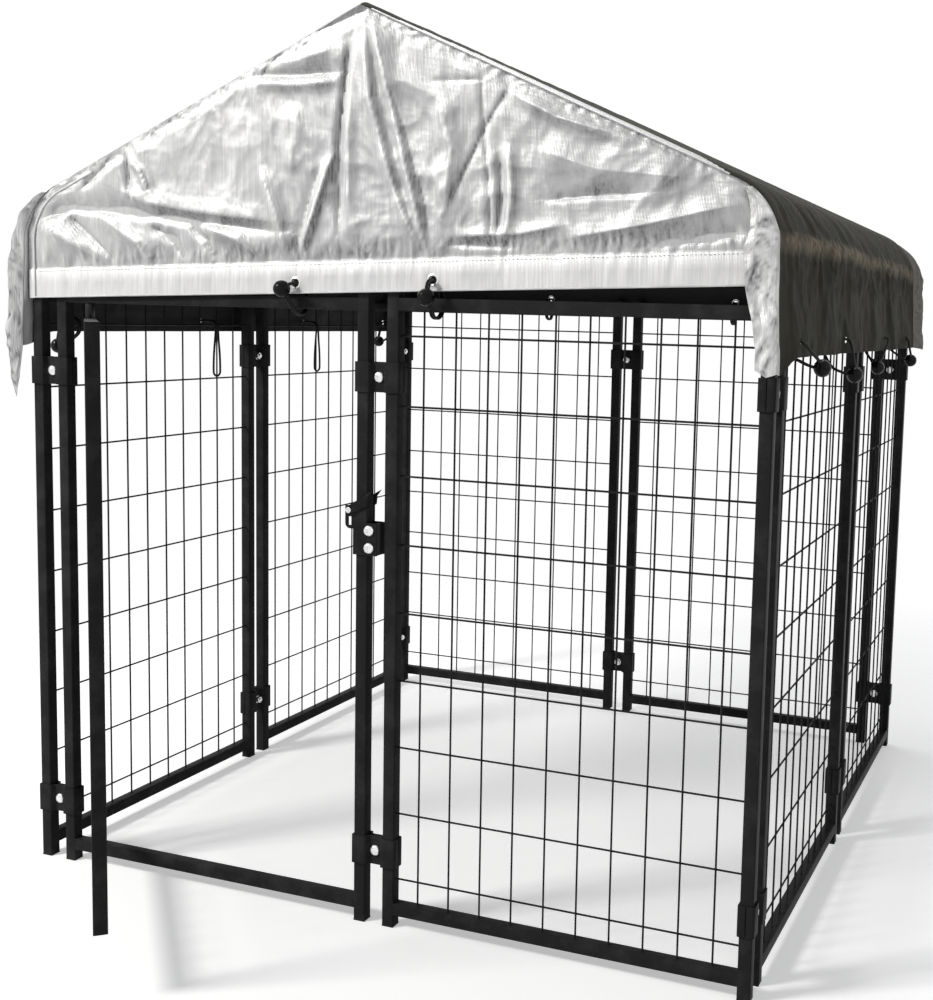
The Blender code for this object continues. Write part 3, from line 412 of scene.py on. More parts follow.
def white_piping():
    piping = Finish("white piping")
    worn = piping.ranged(piping.cloud(30.0), 0.3, 0.7)
    tone = piping.tinted(worn, (0.62, 0.62, 0.62), (0.86, 0.86, 0.86))
    return piping.made(tone, 0.6, [(piping.bands(420.0, "DIAGONAL"), 0.0002, 0.4)])


PAINT = painted_steel()
ZINC = bright_zinc()
PLASTIC = moulded_plastic()
BALL = glossy_ball()
ELASTIC = braided_elastic()
# each: name, painted shade colour, middle colour, painted highlight colour, crush
SILVER, SILVER_HEM_AND_LIT_LIP, SILVER_CORNER, GREY = (
    silver_cloth(name, dark, middle, highlight, crush)
    for name, dark, middle, highlight, crush in (
        ("silver coated cloth", (0.10, 0.10, 0.105), (0.60, 0.603, 0.61), (0.95, 0.95, 0.95), 0.8),
        ("silver coated hem and lit lip", (0.45, 0.45, 0.46), (0.84, 0.84, 0.845), (0.96, 0.96, 0.96), 0.2),
        ("silver coated corner", (0.14, 0.14, 0.145), (0.72, 0.72, 0.725), (0.98, 0.98, 0.98), 0.45),
        ("grey coated cloth", (0.06, 0.058, 0.052), (0.17, 0.162, 0.145), (0.30, 0.28, 0.24), 0.6),
    )
)
DARK = dark_cloth()
LINING = black_lining()
PIPING = white_piping()


def make_floor():
    """A pale sheet under the kennel, seen as white but for the shadow on it, and fading out far away."""
    bpy.ops.mesh.primitive_plane_add(size=40.0, location=(MIDDLE, MIDDLE, 0.0))
    floor = bpy.context.object
    floor.name = "floor"
    pale = Finish("pale floor")
    tone = pale.tinted(pale.cloud(3.0), (0.90, 0.90, 0.90), (0.93, 0.93, 0.93))
    floor.data.materials.append(pale.made(tone, 0.9, Specular_IOR_Level=0.1))
    plain = pale.shader.outputs[0]
    glowing = pale.add("AddShader", {0: plain, 1: pale.add("Emission", {"Strength": 0.42})})
    lit = pale.add("MixShader", {"Fac": pale.seen_rays(), 1: plain, 2: glowing})
    away = pale.add("VectorMath", {0: pale.object}, "Value", operation="LENGTH")
    far = pale.math("MULTIPLY", pale.ranged(away, 1.0, 2.2), pale.seen_rays())
    faded = pale.add("MixShader", {"Fac": far, 1: lit, 2: pale.add("BsdfTransparent", {})})
    pale.fill(pale.tree.nodes["Material Output"], {"Surface": faded})


# Making by hand


def linked(thing):
    bpy.context.scene.collection.objects.link(thing)
    return thing


def from_shape(name, shape):
    """An object with the shape of a bmesh, which is freed."""
    mesh = bpy.data.meshes.new(name)
    shape.to_mesh(mesh)
    shape.free()
    return linked(bpy.data.objects.new(name, mesh))


def deselect():
    if bpy.context.object and bpy.context.object.mode != "OBJECT":
        bpy.ops.object.mode_set(mode="OBJECT")
    bpy.ops.object.select_all(action="DESELECT")


def take(thing):
    deselect()
    thing.select_set(True)
    bpy.context.view_layer.objects.active = thing
    return thing


def smoothed(thing, angle=40):
    """Shades a piece smooth but for the edges that are sharper than an angle."""
    take(thing)
    bpy.ops.object.shade_smooth_by_angle(angle=radians(angle))
    return thing


def apply_all(thing):
    """Applies the modifiers, then puts the object at the origin with its place in its mesh."""
    take(thing)
    for modifier in list(thing.modifiers):
        bpy.ops.object.modifier_apply(modifier=modifier.name)
    bpy.ops.object.transform_apply(location=True, rotation=True, scale=True)
    return thing


def named(thing, name):
    thing.name = name
    thing.data.name = name
    return thing


def added(name):
    bpy.ops.object.transform_apply(location=True, rotation=True, scale=True)
    return named(bpy.context.object, name)


def block(name, low, high):
    low, high = Vector(low), Vector(high)
    deselect()
    bpy.ops.mesh.primitive_cube_add(size=1.0, location=(low + high) / 2)
    bpy.context.object.scale = high - low
    return added(name)


def edit_by(thing, kind):
    take(thing)
    bpy.ops.object.mode_set(mode="EDIT")
    bpy.ops.mesh.select_mode(type=kind)


def done_editing():
    bpy.ops.object.mode_set(mode="OBJECT")


def face_outwards():
    bpy.ops.mesh.select_all(action="SELECT")
    bpy.ops.mesh.normals_make_consistent(inside=False)
    done_editing()


def faces_where(thing, test):
    """Selects the faces that pass a test of their middle and normal, in edit mode."""
    edit_by(thing, "FACE")
    shape = bmesh.from_edit_mesh(thing.data)
    for face in shape.faces:
        face.select_set(test(face.calc_center_median(), face.normal))
    shape.select_flush_mode()
    bmesh.update_edit_mesh(thing.data)


def edges_where(thing, test):
    """Selects the edges that pass a test of their two ends, in edit mode."""
    edit_by(thing, "EDGE")
    shape = bmesh.from_edit_mesh(thing.data)
    for edge in shape.edges:
        edge.select_set(test(edge.verts[0].co, edge.verts[1].co))
    shape.select_flush_mode()
    bmesh.update_edit_mesh(thing.data)


def softened(thing, width, angle=35):
    """Rounds the edges that are sharper than an angle."""
    bevel = thing.modifiers.new("arris", "BEVEL")
    bevel.width = width
    bevel.segments = 2
    bevel.limit_method = "ANGLE"
    bevel.angle_limit = radians(angle)
    return smoothed(apply_all(thing))


def turn_along(way):
    """The turn that takes Z to a way."""
    return way.to_track_quat("Z", "Y").to_matrix().to_4x4()


def turned(name, profile, start, end, sides=24, sharp=40):
    """A round piece on the line from start to end, from (radius, distance along) of each edge of it."""
    deselect()
    radius, height = profile[0]
    bpy.ops.mesh.primitive_circle_add(
        vertices=sides, radius=radius, fill_type="NGON", location=(0.0, 0.0, height)
    )
    thing = added(name)
    bpy.ops.object.mode_set(mode="EDIT")
    bpy.ops.mesh.select_all(action="SELECT")
    for (r0, h0), (r1, h1) in zip(profile, profile[1:]):
        bpy.ops.mesh.extrude_region_move(TRANSFORM_OT_translate={"value": (0.0, 0.0, h1 - h0)})
        bpy.ops.transform.resize(value=(r1 / r0, r1 / r0, 1.0), center_override=(0.0, 0.0, h1))
    face_outwards()
    start, end = Vector(start), Vector(end)
    thing.data.transform(Matrix.Translation(start) @ turn_along(end - start))
    return smoothed(thing, sharp)


def bent_strip(name, path, low, high, thickness, bend):
    """A strip of plate bent along a path in plan, between two heights."""
    first, second = Vector(path[0]), Vector(path[1])
    deselect()
    bpy.ops.mesh.primitive_plane_add(size=1.0)
    thing = bpy.context.object
    across = (second - first).to_3d()
    place = Matrix.Identity(4)
    place.col[0] = (*across, 0.0)
    place.col[1] = (0.0, 0.0, high - low, 0.0)
    place.col[2] = (*across.cross(Vector((0.0, 0.0, 1.0))).normalized(), 0.0)
    place.col[3] = (*((first + second) / 2), (low + high) / 2, 1.0)
    thing.data.transform(place)
    thing.name = name

    def over(point, corner):
        return hypot(point.x - corner[0], point.y - corner[1]) < 1e-5

    for one, two in zip(path[1:], path[2:]):
        edges_where(thing, lambda a, b: over(a, one) and over(b, one))
        bpy.ops.mesh.extrude_region_move(
            TRANSFORM_OT_translate={"value": (two[0] - one[0], two[1] - one[1], 0.0)}
        )
        done_editing()
    edges_where(
        thing, lambda a, b: abs(a.z - b.z) > 1e-4 and any(over(a, p) and over(b, p) for p in path[1:-1])
    )
    bpy.ops.mesh.bevel(offset=bend, offset_type="OFFSET", segments=3, affect="EDGES")
    done_editing()
    solid = thing.modifiers.new("wall", "SOLIDIFY")
    solid.thickness = thickness
    solid.offset = 0.0
    solid.use_even_offset = True
    return softened(thing, 0.0004, 50)


def copied(thing, name, matrix):
    """A copy with its own mesh, moved by a matrix."""
    twin = thing.copy()
    twin.data = thing.data.copy()
    twin.data.transform(matrix)
    return linked(named(twin, name))


def joined(name, things):
    """One piece of several that are welded together."""
    take(things[0])
    for thing in things:
        thing.select_set(True)
    bpy.ops.object.join()
    return named(things[0], name)


def finished(thing, material, body="kennel", stands_for=()):
    """Gives a piece its material and body, and hides the CAD nodes that it stands for."""
    thing.data.materials.clear()
    thing.data.materials.append(material)
    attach(thing, body)
    if stands_for:
        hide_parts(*stands_for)
    return thing


def dropped(*things):
    for thing in things:
        bpy.data.objects.remove(thing, do_unlink=True)


def from_cad(name, node, width):
    """A piece with a CAD node's own shape, its points merged and its edges rounded."""
    thing = NODES[node].copy()
    thing.data = NODES[node].data.copy()
    thing.parent = None
    for key in list(thing.keys()):
        if key.startswith("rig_"):
            del thing[key]
    thing.name = name
    thing.hide_render = thing.hide_viewport = False
    take(linked(thing))
    bpy.ops.object.mode_set(mode="EDIT")
    bpy.ops.mesh.select_all(action="SELECT")
    bpy.ops.mesh.remove_doubles(threshold=0.00001)
    bpy.ops.mesh.dissolve_limited(angle_limit=radians(1.0))
    done_editing()
    return softened(thing, width, 30)


def row_matrix(side):
    middle = Matrix.Translation((MIDDLE, MIDDLE, 0.0))
    return middle @ Matrix.Rotation(side * pi / 2, 4, "Z") @ middle.inverted()


def evenly(start, end, pitch):
    count = max(1, round((end - start) / pitch))
    first = (start + end - (count - 1) * pitch) / 2
    return [first + i * pitch for i in range(count)]


# Panels


def tube_run(name, low, high, along, open_ends=True):
    """A length of square tube with rounded edges, its ends open enough to show its wall."""
    tube = block(name, low, high)
    other = [i for i in range(3) if i != along]
    edges_where(tube, lambda a, b: all(abs(a[i] - b[i]) < 1e-6 for i in other))
    bpy.ops.mesh.bevel(offset=TUBE_ROUND, segments=4, affect="EDGES")
    done_editing()
    if open_ends:
        faces_where(tube, lambda middle, normal: abs(normal[along]) > 0.9)
        bpy.ops.mesh.inset(thickness=TUBE_WALL, use_individual=True)
        bpy.ops.mesh.extrude_region_shrink_fatten(TRANSFORM_OT_shrink_fatten={"value": -0.012})
        done_editing()
    return smoothed(tube)


def foot_plug(name, x):
    """The moulded foot that closes a post's lower end."""
    plug = block(name, (x, -HALF, 0.0), (x + TUBE, HALF, PLUG_OUT))
    faces_where(plug, lambda middle, normal: normal.z > 0.9)
    bpy.ops.mesh.inset(thickness=TUBE_WALL + 0.0001)
    bpy.ops.mesh.extrude_region_move(TRANSFORM_OT_translate={"value": (0.0, 0.0, 0.008)})
    done_editing()
    faces_where(plug, lambda middle, normal: normal.z < -0.9)
    bpy.ops.mesh.inset(thickness=0.0045)
    bpy.ops.mesh.extrude_region_move(TRANSFORM_OT_translate={"value": (0.0, 0.0, 0.0008)})
    done_editing()
    return softened(plug, 0.0005)


def wire_mesh(name, width, low, high):
    """Welded wire between the posts and rails of a frame, each wire's ends let into the tube."""
    deselect()
    bpy.ops.mesh.primitive_cylinder_add(vertices=8, radius=WIRE / 2, depth=1.0, end_fill_type="NGON")
    rod = added("wire rod")
    wires = []
    upright = Matrix.Diagonal((1, 1, high - low + 2 * WIRE_IN, 1))
    for i, x in enumerate(evenly(TUBE, width - TUBE, WIRE_ACROSS)):
        place = Matrix.Translation((x, -WELD_OFF, (low + high) / 2)) @ upright
        wires.append(copied(rod, f"upright wire {i}", place))
    level = Matrix.Rotation(pi / 2, 4, "Y") @ Matrix.Diagonal((1, 1, width - 2 * TUBE + 2 * WIRE_IN, 1))
    for i, z in enumerate(evenly(low, high, WIRE_UP)):
        wires.append(copied(rod, f"level wire {i}", Matrix.Translation((width / 2, WELD_OFF, z)) @ level))
    dropped(rod)
    return smoothed(joined(name, wires), 50)


def frame_pieces(name, width, low, high, rail_low, rail_high, feet=True):
    """A frame of posts and rails from X = 0, and the wire in it."""
    foot = low + (PLUG_OUT if feet else 0.0)
    tubes = [tube_run("post", (x, -HALF, foot), (x + TUBE, HALF, high), 2) for x in (0.0, width - TUBE)]
    side = HALF - 0.0002
    start, end = TUBE - 0.0008, width - TUBE + 0.0008
    for z in (rail_low, rail_high - TUBE):
        tubes.append(tube_run("rail", (start, -side, z), (end, side, z + TUBE), 0, False))
    mesh = wire_mesh(name + "_wire", width, rail_low + TUBE, rail_high - TUBE)
    return joined(name + "_tubes", tubes), mesh


def make_panels():
    tubes, wire = frame_pieces("plain_frame", PANEL_WIDTH, 0.0, POST_HEIGHT, RAIL_LOW, RAIL_TOP)
    plugs = [foot_plug(f"plug {i}", x) for i, x in enumerate((0.0, PANEL_WIDTH - TUBE))]
    names = (
        ("door_frame", "front_right_panel"),
        ("right_front_panel", "right_rear_panel"),
        ("back_right_panel", "back_left_panel"),
        ("left_rear_panel", "left_front_panel"),
    )
    for side, pair in enumerate(names):
        for start, node in zip((ROW_START, SECOND_PANEL), pair):
            place = row_matrix(side) @ Matrix.Translation((start, 0.0, 0.0))
            finished(copied(tubes, node + "_tubes", place), PAINT, stands_for=(node,))
            if node != "door_frame":
                finished(copied(wire, node + "_wire", place), PAINT)
            for i, plug in enumerate(plugs):
                finished(copied(plug, f"{node}_foot_{i + 1}", place), PLASTIC)
    dropped(tubes, wire, *plugs)


def make_gate():
    place = Matrix.Translation((GATE_AXIS, 0.0, 0.0)) @ Matrix.Rotation(-radians(GATE_OPEN), 4, "Z")
    place = place @ Matrix.Translation((-HALF, 0.0, 0.0))
    tubes, wire = frame_pieces("gate", GATE_WIDTH, GATE_LOW, GATE_TOP, GATE_LOW, GATE_TOP, False)
    for piece, stands_for in ((tubes, ("gate",)), (wire, ())):
        piece.data.transform(place)
        finished(piece, PAINT, "gate", stands_for=stands_for)


def make_from_cad():
    """The small pieces that keep the shape of their CAD nodes, with softer edges."""
    for ending, width, material, body, slot, *nodes in (
        ("turned", 0.0006, ZINC, "kennel", "zinc", "gate_pin_bottom", "gate_pin_top"),
        ("moulded", 0.0005, PLASTIC, "kennel", "plastic", "gate_bush_bottom", "gate_bush_top"),
        ("pressed", 0.0005, PAINT, "kennel", "powder_coat", "latch_front_plate", "latch_back_plate"),
        ("blade", 0.0006, PAINT, "lever", "powder_coat", "latch_lever_front", "latch_lever_rear"),
        ("turned", 0.0006, ZINC, "lever", "zinc", "latch_lever_pin"),
        ("pressed", 0.0005, PAINT, "kennel", "powder_coat", "ridge_fitting_front", "ridge_fitting_back"),
    ):
        for node in nodes:
            finished(from_cad(f"{node}_{ending}", node, width), material, body, (node,))


def across_panel(name, profile, place, way, sides=24, sharp=40):
    """A round piece from a place straight to the front (way -1) or to the back (way 1)."""
    x, y, z = place
    return turned(name, profile, place, (x, y + way, z), sides, sharp)


def make_clamps():
    """Each clamp is an outer and an inner jaw, a carriage bolt, and its nut and washer."""
    gap, clear, web = 0.030, 0.0003, 0.002
    outer = gap / 2 + TUBE + clear + PLATE / 2
    face = HALF + clear + PLATE / 2
    shoulder = gap / 2 - clear - PLATE / 2
    right = [(shoulder - 0.003, -web - PLATE / 2), (shoulder, -face), (outer, -face), (outer, -0.0006)]
    path = [(-x, y) for x, y in reversed(right)] + right
    jaw = bent_strip("jaw", path, -CLAMP_HEIGHT / 2, CLAMP_HEIGHT / 2, PLATE, 0.0016)
    back = web + PLATE
    dome = (
        (0.0078, 0.0), (0.0085, 0.0006), (0.0078, 0.0022),
        (0.0060, 0.0037), (0.0036, 0.0044), (0.0010, 0.0046),
    )
    shank = ((0.0038, -0.001), (0.0038, 2 * back + 0.0085), (0.0032, 2 * back + 0.0095))
    ring = ((0.0072, 0.0), (0.0076, 0.0002), (0.0076, 0.0010), (0.0072, 0.0012))
    hexagon = ((0.0062, 0.0), (0.0070, 0.0007), (0.0070, 0.0052), (0.0061, 0.0060))
    ends = [
        across_panel("clamp head", dome, (0.0, -back, 0.0), -1),
        across_panel("clamp shank", shank, (0.0, -back, 0.0), 1, 16),
    ]
    bolt = joined("clamp bolt", ends)
    washer = across_panel("clamp washer", ring, (0.0, back, 0.0), 1)
    nut = across_panel("clamp nut", hexagon, (0.0, back + 0.0012, 0.0), 1, 6, 20)
    corners = ("front_left", "front_right", "back_right", "back_left")
    for side, (corner, row) in enumerate(zip(corners, ("front", "right", "back", "left"))):
        for level, height in (("lower", CLAMP_LOW), ("upper", CLAMP_HIGH)):
            lowered = 0.0 if side else CLAMP_LOWERED
            for node, x, z in (
                (f"clamp_{corner}_corner_{level}", CLAMP_CORNER, height - lowered),
                (f"clamp_{row}_middle_{level}", CLAMP_MIDDLE, height),
            ):
                place = row_matrix(side) @ Matrix.Translation((x, 0.0, z))
                finished(copied(jaw, node + "_outer_jaw", place), PAINT, stands_for=(node,))
                finished(copied(jaw, node + "_inner_jaw", place @ Matrix.Rotation(pi, 4, "Z")), PAINT)
                for part, ending in ((bolt, "bolt"), (washer, "washer"), (nut, "nut")):
                    finished(copied(part, f"{node}_{ending}", place), ZINC)
    dropped(jaw, bolt, washer, nut)


def make_latch_bolts():
    dome = (
        (0.0078, 0.0), (0.0083, 0.0006), (0.0077, 0.0022),
        (0.0060, 0.0036), (0.0036, 0.0043), (0.0010, 0.0045),
    )
    hexagon = ((0.0062, 0.0), (0.0070, 0.0007), (0.0070, 0.0055), (0.0061, 0.0063))
    for node, z in (("latch_bolt_lower", 0.575), ("latch_bolt_upper", 0.601)):
        head = across_panel("head", dome, (LATCH_BOLT, -LATCH_FACE, z), -1)
        start = (LATCH_BOLT, -LATCH_FACE - 0.001, z)
        shank = across_panel("shank", ((0.0038, 0.0), (0.0038, 0.0335), (0.0032, 0.0345)), start, 1, 16)
        nut = across_panel("nut", hexagon, (LATCH_BOLT, LATCH_FACE, z), 1, 6, 20)
        finished(joined(node + "_carriage", [head, shank, nut]), ZINC, stands_for=(node,))


# Cover


def smooth_step(low, high, value):
    t = min(1.0, max(0.0, (value - low) / (high - low)))
    return t * t * (3 - 2 * t)


def eave_line(off, turns=5):
    """The right half of the roof's line: the ridge, then the bend down to where it is upright."""
    slope = radians(ROOF_PITCH)
    bend = EAVE_RADIUS + off
    turn = pi / 2 - slope
    inner_x = SPAN - EAVE_RADIUS
    tangent_x = inner_x + EAVE_RADIUS * sin(slope)
    centre_z = RIDGE_HEIGHT - (tangent_x - MIDDLE) * tan(slope) - EAVE_RADIUS * cos(slope)
    points = [(MIDDLE, RIDGE_HEIGHT + off / cos(slope))]
    for i in range(turns):
        angle = pi / 2 - slope - turn * i / (turns - 1)
        points.append((inner_x + bend * cos(angle), centre_z + bend * sin(angle)))
    return points


EAVE_HEIGHT = eave_line(0.0)[-1][1]


def crumple(point, size, depth):
    """Height of crushed cloth: sharp creases between flat facets, about as far apart as size."""
    p = Vector(point) / size
    p += noise.noise_vector(p * 0.6) * 0.7
    height = 0.0
    for octave, share in ((1.0, 0.62), (2.1, 0.28), (4.3, 0.10)):
        height += share * (1.0 - 2.0 * abs(noise.noise(p * octave + Vector((octave * 7.3, 2.1, 5.7)))))
    return depth * (height - 0.45)


def crease(x, z, path, width, height, lean=0.0):
    """The swell of a crease along a path; lean makes one side of it wider than the other."""
    reach = width * 3.2
    if not min(p[0] for p in path) - reach < x < max(p[0] for p in path) + reach:
        return 0.0
    if not min(p[1] for p in path) - reach < z < max(p[1] for p in path) + reach:
        return 0.0
    best = None
    total = len(path) - 1
    for i, (one, two) in enumerate(zip(path, path[1:])):
        ax, az = one
        dx, dz = two[0] - ax, two[1] - az
        long = dx * dx + dz * dz
        t = min(1.0, max(0.0, ((x - ax) * dx + (z - az) * dz) / long))
        ox, oz = x - ax - dx * t, z - az - dz * t
        far = hypot(ox, oz)
        if best is None or far < best[0]:
            side = (dx * (z - az) - dz * (x - ax)) / long**0.5
            best = (far, (i + t) / total, side)
    far, along, side = best
    if far > reach:
        return 0.0
    wide = width * (1.0 + lean * (1 if side > 0 else -1))
    ends = smooth_step(0.0, 0.18, along) * smooth_step(1.0, 0.82, along)
    body = 0.45 * exp(-far / (0.5 * wide)) + 0.55 * exp(-((far / wide) ** 2))
    return height * body * (0.25 + 0.75 * ends)


def on_front(px, py):
    """The place on the front flap that lies under a point of the photograph's frame."""
    ahead, side, top = camera_axes()
    ray = ahead * FOCAL + side * (px - CENTRE[0]) - top * (py - CENTRE[1])
    far = (-0.014 - CAMERA_PLACE[1]) / ray.y
    return (CAMERA_PLACE[0] + ray.x * far, CAMERA_PLACE[2] + ray.z * far)


DRAWN_CREASES = (  # path in the photograph's frame, width, height, lean
    (((372, 12), (389, 90), (408, 170), (429, 262)), 0.014, 0.0075, 0.35),
    (((366, 18), (372, 98), (396, 190), (418, 244)), 0.012, 0.0060, -0.30),
    (((381, 60), (404, 130), (425, 205), (432, 250)), 0.016, -0.0045),
    (((352, 38), (345, 90), (339, 144), (339, 234)), 0.010, -0.0060, 0.3),
    (((358, 30), (352, 96), (348, 150), (350, 225)), 0.014, 0.0040),
    (((336, 150), (318, 205), (299, 262)), 0.013, 0.0060, -0.3),
    (((261, 165), (278, 215), (290, 262)), 0.012, 0.0045, 0.2),
    (((322, 160), (306, 215), (294, 262)), 0.010, -0.0040),
    (((39, 220), (72, 208), (130, 213), (190, 221), (285, 232)), 0.013, -0.0065, 0.45),
    (((120, 190), (150, 203), (200, 212), (283, 222)), 0.016, 0.0060, 0.2),
    (((243, 75), (290, 76), (340, 73)), 0.008, -0.0050, 0.5),
    (((250, 66), (300, 60), (335, 50)), 0.016, 0.0040),
    (((260, 84), (300, 85), (338, 82)), 0.009, 0.0045),
    (((131, 161), (142, 172), (150, 192)), 0.006, 0.0050, 0.3),
    (((124, 148), (128, 170), (132, 206)), 0.006, -0.0035),
    (((124, 146), (105, 165), (81, 190)), 0.009, -0.0055),
    (((200, 98), (160, 126), (126, 144)), 0.008, -0.0040),
    (((40, 224), (70, 240), (110, 265)), 0.014, 0.0060, 0.2),
    (((66, 212), (92, 236), (122, 268)), 0.010, -0.0045),
    (((102, 216), (140, 244), (152, 268)), 0.013, 0.0055),
    (((150, 225), (176, 240), (186, 262)), 0.010, -0.0050),
    (((188, 222), (208, 240), (214, 262)), 0.010, -0.0055, 0.2),
    (((200, 224), (240, 240), (262, 258)), 0.014, 0.0055),
    (((512, 84), (485, 128), (444, 218)), 0.006, -0.0018, 0.4),
    (((482, 80), (484, 128), (490, 205), (492, 280)), 0.0035, -0.0022),
    (((431, 82), (484, 80)), 0.0045, -0.0014, 0.5),
    (((498, 150), (502, 200), (497, 238)), 0.009, -0.0050, 0.3),
    (((510, 140), (512, 195), (505, 240)), 0.010, 0.0045),
    (((546, 200), (590, 196), (650, 193)), 0.008, -0.0040, 0.4),
    (((560, 240), (640, 226), (735, 205)), 0.015, 0.0058),
    (((630, 249), (690, 243), (746, 234)), 0.010, -0.0075, 0.3),
    (((450, 245), (515, 248)), 0.006, -0.0045, 0.4),
    (((452, 236), (520, 234), (565, 225)), 0.010, 0.0040),
    (((515, 95), (560, 118), (640, 140), (700, 168)), 0.010, 0.0050),
    (((590, 104), (640, 132), (716, 170)), 0.008, -0.0045),
    (((540, 150), (600, 170), (690, 178)), 0.022, 0.0040),
    (((440, 96), (452, 150), (446, 210)), 0.018, 0.0045),
    (((300, 100), (296, 140), (292, 175)), 0.020, 0.0030),
)
FRONT_CREASES = [([on_front(*p) for p in path], *rest) for path, *rest in DRAWN_CREASES]
BACK_CREASES = (  # path (x, z), width, height, lean
    (((0.60, 1.31), (0.50, 1.12), (0.385, 0.98)), 0.018, 0.0065),
    (((0.60, 1.31), (0.70, 1.12), (0.815, 0.98)), 0.018, 0.0065),
    (((0.62, 1.27), (0.62, 1.10), (0.60, 1.00)), 0.020, -0.0050),
    (((0.12, 1.06), (0.26, 1.03), (0.37, 1.00)), 0.016, 0.0055, 0.3),
    (((1.08, 1.06), (0.94, 1.03), (0.83, 1.00)), 0.016, 0.0055, -0.3),
    (((0.30, 1.16), (0.36, 1.08), (0.38, 1.00)), 0.014, -0.0045),
    (((0.90, 1.16), (0.84, 1.08), (0.82, 1.00)), 0.014, -0.0045),
    (((0.44, 1.05), (0.60, 1.07), (0.76, 1.05)), 0.014, 0.0040),
)


def fold_shading_of(heights, across, up, depth, slope=0.0):
    """A map of painted crease shading from a grid of heights, whose steps are across and up in metres: 0 is
    painted shade in a crease or on a side that leans down and right, 0.5 where it's level, 1 is a painted
    highlight on a crest or a side that leans up and left; slope sets how strongly the sides are shaded, as
    though lit from the upper left."""
    rows, columns = len(heights), len(heights[0])
    fold_shading_map = []
    for i in range(rows):
        before, after = heights[max(0, i - 1)], heights[min(rows - 1, i + 1)]
        run = []
        for j in range(columns):
            below, above = heights[i][max(0, j - 1)], heights[i][min(columns - 1, j + 1)]
            middle = (before[j] + after[j] + below + above) / 4
            lean = 0.5 * (after[j] - before[j]) / (2 * across) - 0.6 * (above - below) / (2 * up)
            value = 0.5 + (heights[i][j] - middle) / depth + slope * lean
            run.append(min(1.0, max(0.0, value)))
        fold_shading_map.append(run)
    return fold_shading_map


def cloth_sheet(name, grid, fold_shading_map, finishes, facing, chosen=None):
    """A sheet of cloth from a grid of points on its outer side, which faces a way. Finishes are pairs of an
    outer and an inner one, and chosen picks a pair by a face's middle."""
    shape = bmesh.new()
    # each point carries its painted crease shading, which the materials read
    layer = shape.verts.layers.float.new("fold_shading")
    points = []
    for line, values in zip(grid, fold_shading_map):
        run = [shape.verts.new(p) for p in line]
        for point, value in zip(run, values):
            point[layer] = value
        points.append(run)
    for one, two in zip(points, points[1:]):
        for corners in zip(one, one[1:], two[1:], two):
            shape.faces.new(corners)
    shape.normal_update()
    outwards = (face.normal.dot(facing(face.calc_center_median())) * face.calc_area() for face in shape.faces)
    if sum(outwards) < 0:
        bmesh.ops.reverse_faces(shape, faces=shape.faces)
    if chosen:
        for face in shape.faces:
            face.material_index = 2 * chosen(face.calc_center_median())
    sheet = from_shape(name, shape)
    for material in sum(finishes, ()):
        sheet.data.materials.append(material)
    solid = sheet.modifiers.new("thickness", "SOLIDIFY")
    solid.thickness = CLOTH_THICK
    solid.offset = -1.0
    solid.material_offset = 1
    solid.material_offset_rim = 0
    return smoothed(apply_all(sheet), 60)


def pierced(sheet, runs):
    """Cuts round eyelets through a sheet, each along a line from one point to another."""
    cutters = []
    for i, (start, end) in enumerate(runs):
        deselect()
        bpy.ops.mesh.primitive_cylinder_add(vertices=20, radius=EYELET_HOLE, depth=1.0)
        cutter = added(f"eyelet cutter {i}")
        start, end = Vector(start), Vector(end)
        stretch = Matrix.Diagonal((1.0, 1.0, (end - start).length, 1.0))
        cutter.data.transform(Matrix.Translation((start + end) / 2) @ turn_along(end - start) @ stretch)
        cutters.append(cutter)
    cutter = joined("eyelet cutters", cutters)
    cut = sheet.modifiers.new("eyelets", "BOOLEAN")
    cut.operation = "DIFFERENCE"
    cut.object = cutter
    apply_all(sheet)
    dropped(cutter)
    return sheet


def away_from_middle(point):
    return point - Vector((MIDDLE, MIDDLE, 0.6))


def cut_of(grid):
    """The flat size and area of the piece that a grid was cut from."""

    def long(run):
        return sum((Vector(b) - Vector(a)).length for a, b in zip(run, run[1:]))

    length = max(long([run[i] for run in grid]) for i in range(len(grid[0])))
    area = 0.0
    for one, two in zip(grid, grid[1:]):
        for a, b, c, d in zip(one, one[1:], two[1:], two):
            across, along = Vector(c) - Vector(a), Vector(d) - Vector(b)
            area += across.cross(along).length / 2
    return (area / length * 1.15, length), area


def placed_cloth(thing, stands_for=()):
    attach(thing, "kennel")
    if stands_for:
        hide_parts(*stands_for)


def hem_height(x, left, right):
    return left + (right - left) * x / SPAN


def flap_tops(steps):
    """The flap's upper edge from left to right, close under the roof sheet."""
    outline = eave_line(0.0095, 16)
    right = [outline[0]]
    for i in range(1, steps):
        right.append(tuple(Vector(outline[0]).lerp(Vector(outline[1]), i / steps)))
    right += outline[1:]
    return [(2 * MIDDLE - x, z) for x, z in reversed(right[1:])] + right


def flap_swell(x, z, top, hem, creases, seed):
    """How far the flap stands out of its plane."""
    down, up = top - z, z - hem
    ease = smooth_step(0.0, 0.030, down) * smooth_step(-0.012, 0.030, min(x, SPAN - x))
    hem_ease = smooth_step(HEM_BAND - 0.004, HEM_BAND + 0.040, up)
    swell = sum(crease(x, z, *one) for one in creases)
    crush = crumple((x * 1.1, seed, z * 0.8), 0.120, 0.0050)
    crush += crumple((x * 1.3, seed + 3.0, z * 0.6), 0.040, 0.0008)
    gathers = exp(-(((up - HEM_BAND - 0.012) / 0.016) ** 2))
    gathers *= crumple((x, seed + 9.0, z * 0.25), 0.018, 0.0030)
    rake = exp(-((down / 0.022) ** 2)) * crumple((x, seed + 5.0, z), 0.022, 0.0032)
    band = 0.0012 * smooth_step(HEM_BAND + 0.001, HEM_BAND - 0.001, up)
    value = (swell * 1.25 + crush) * (0.10 + 0.90 * hem_ease) * ease + gathers * ease + rake + band
    return min(0.0125, max(-0.0010, value + 0.0032 * ease * hem_ease))


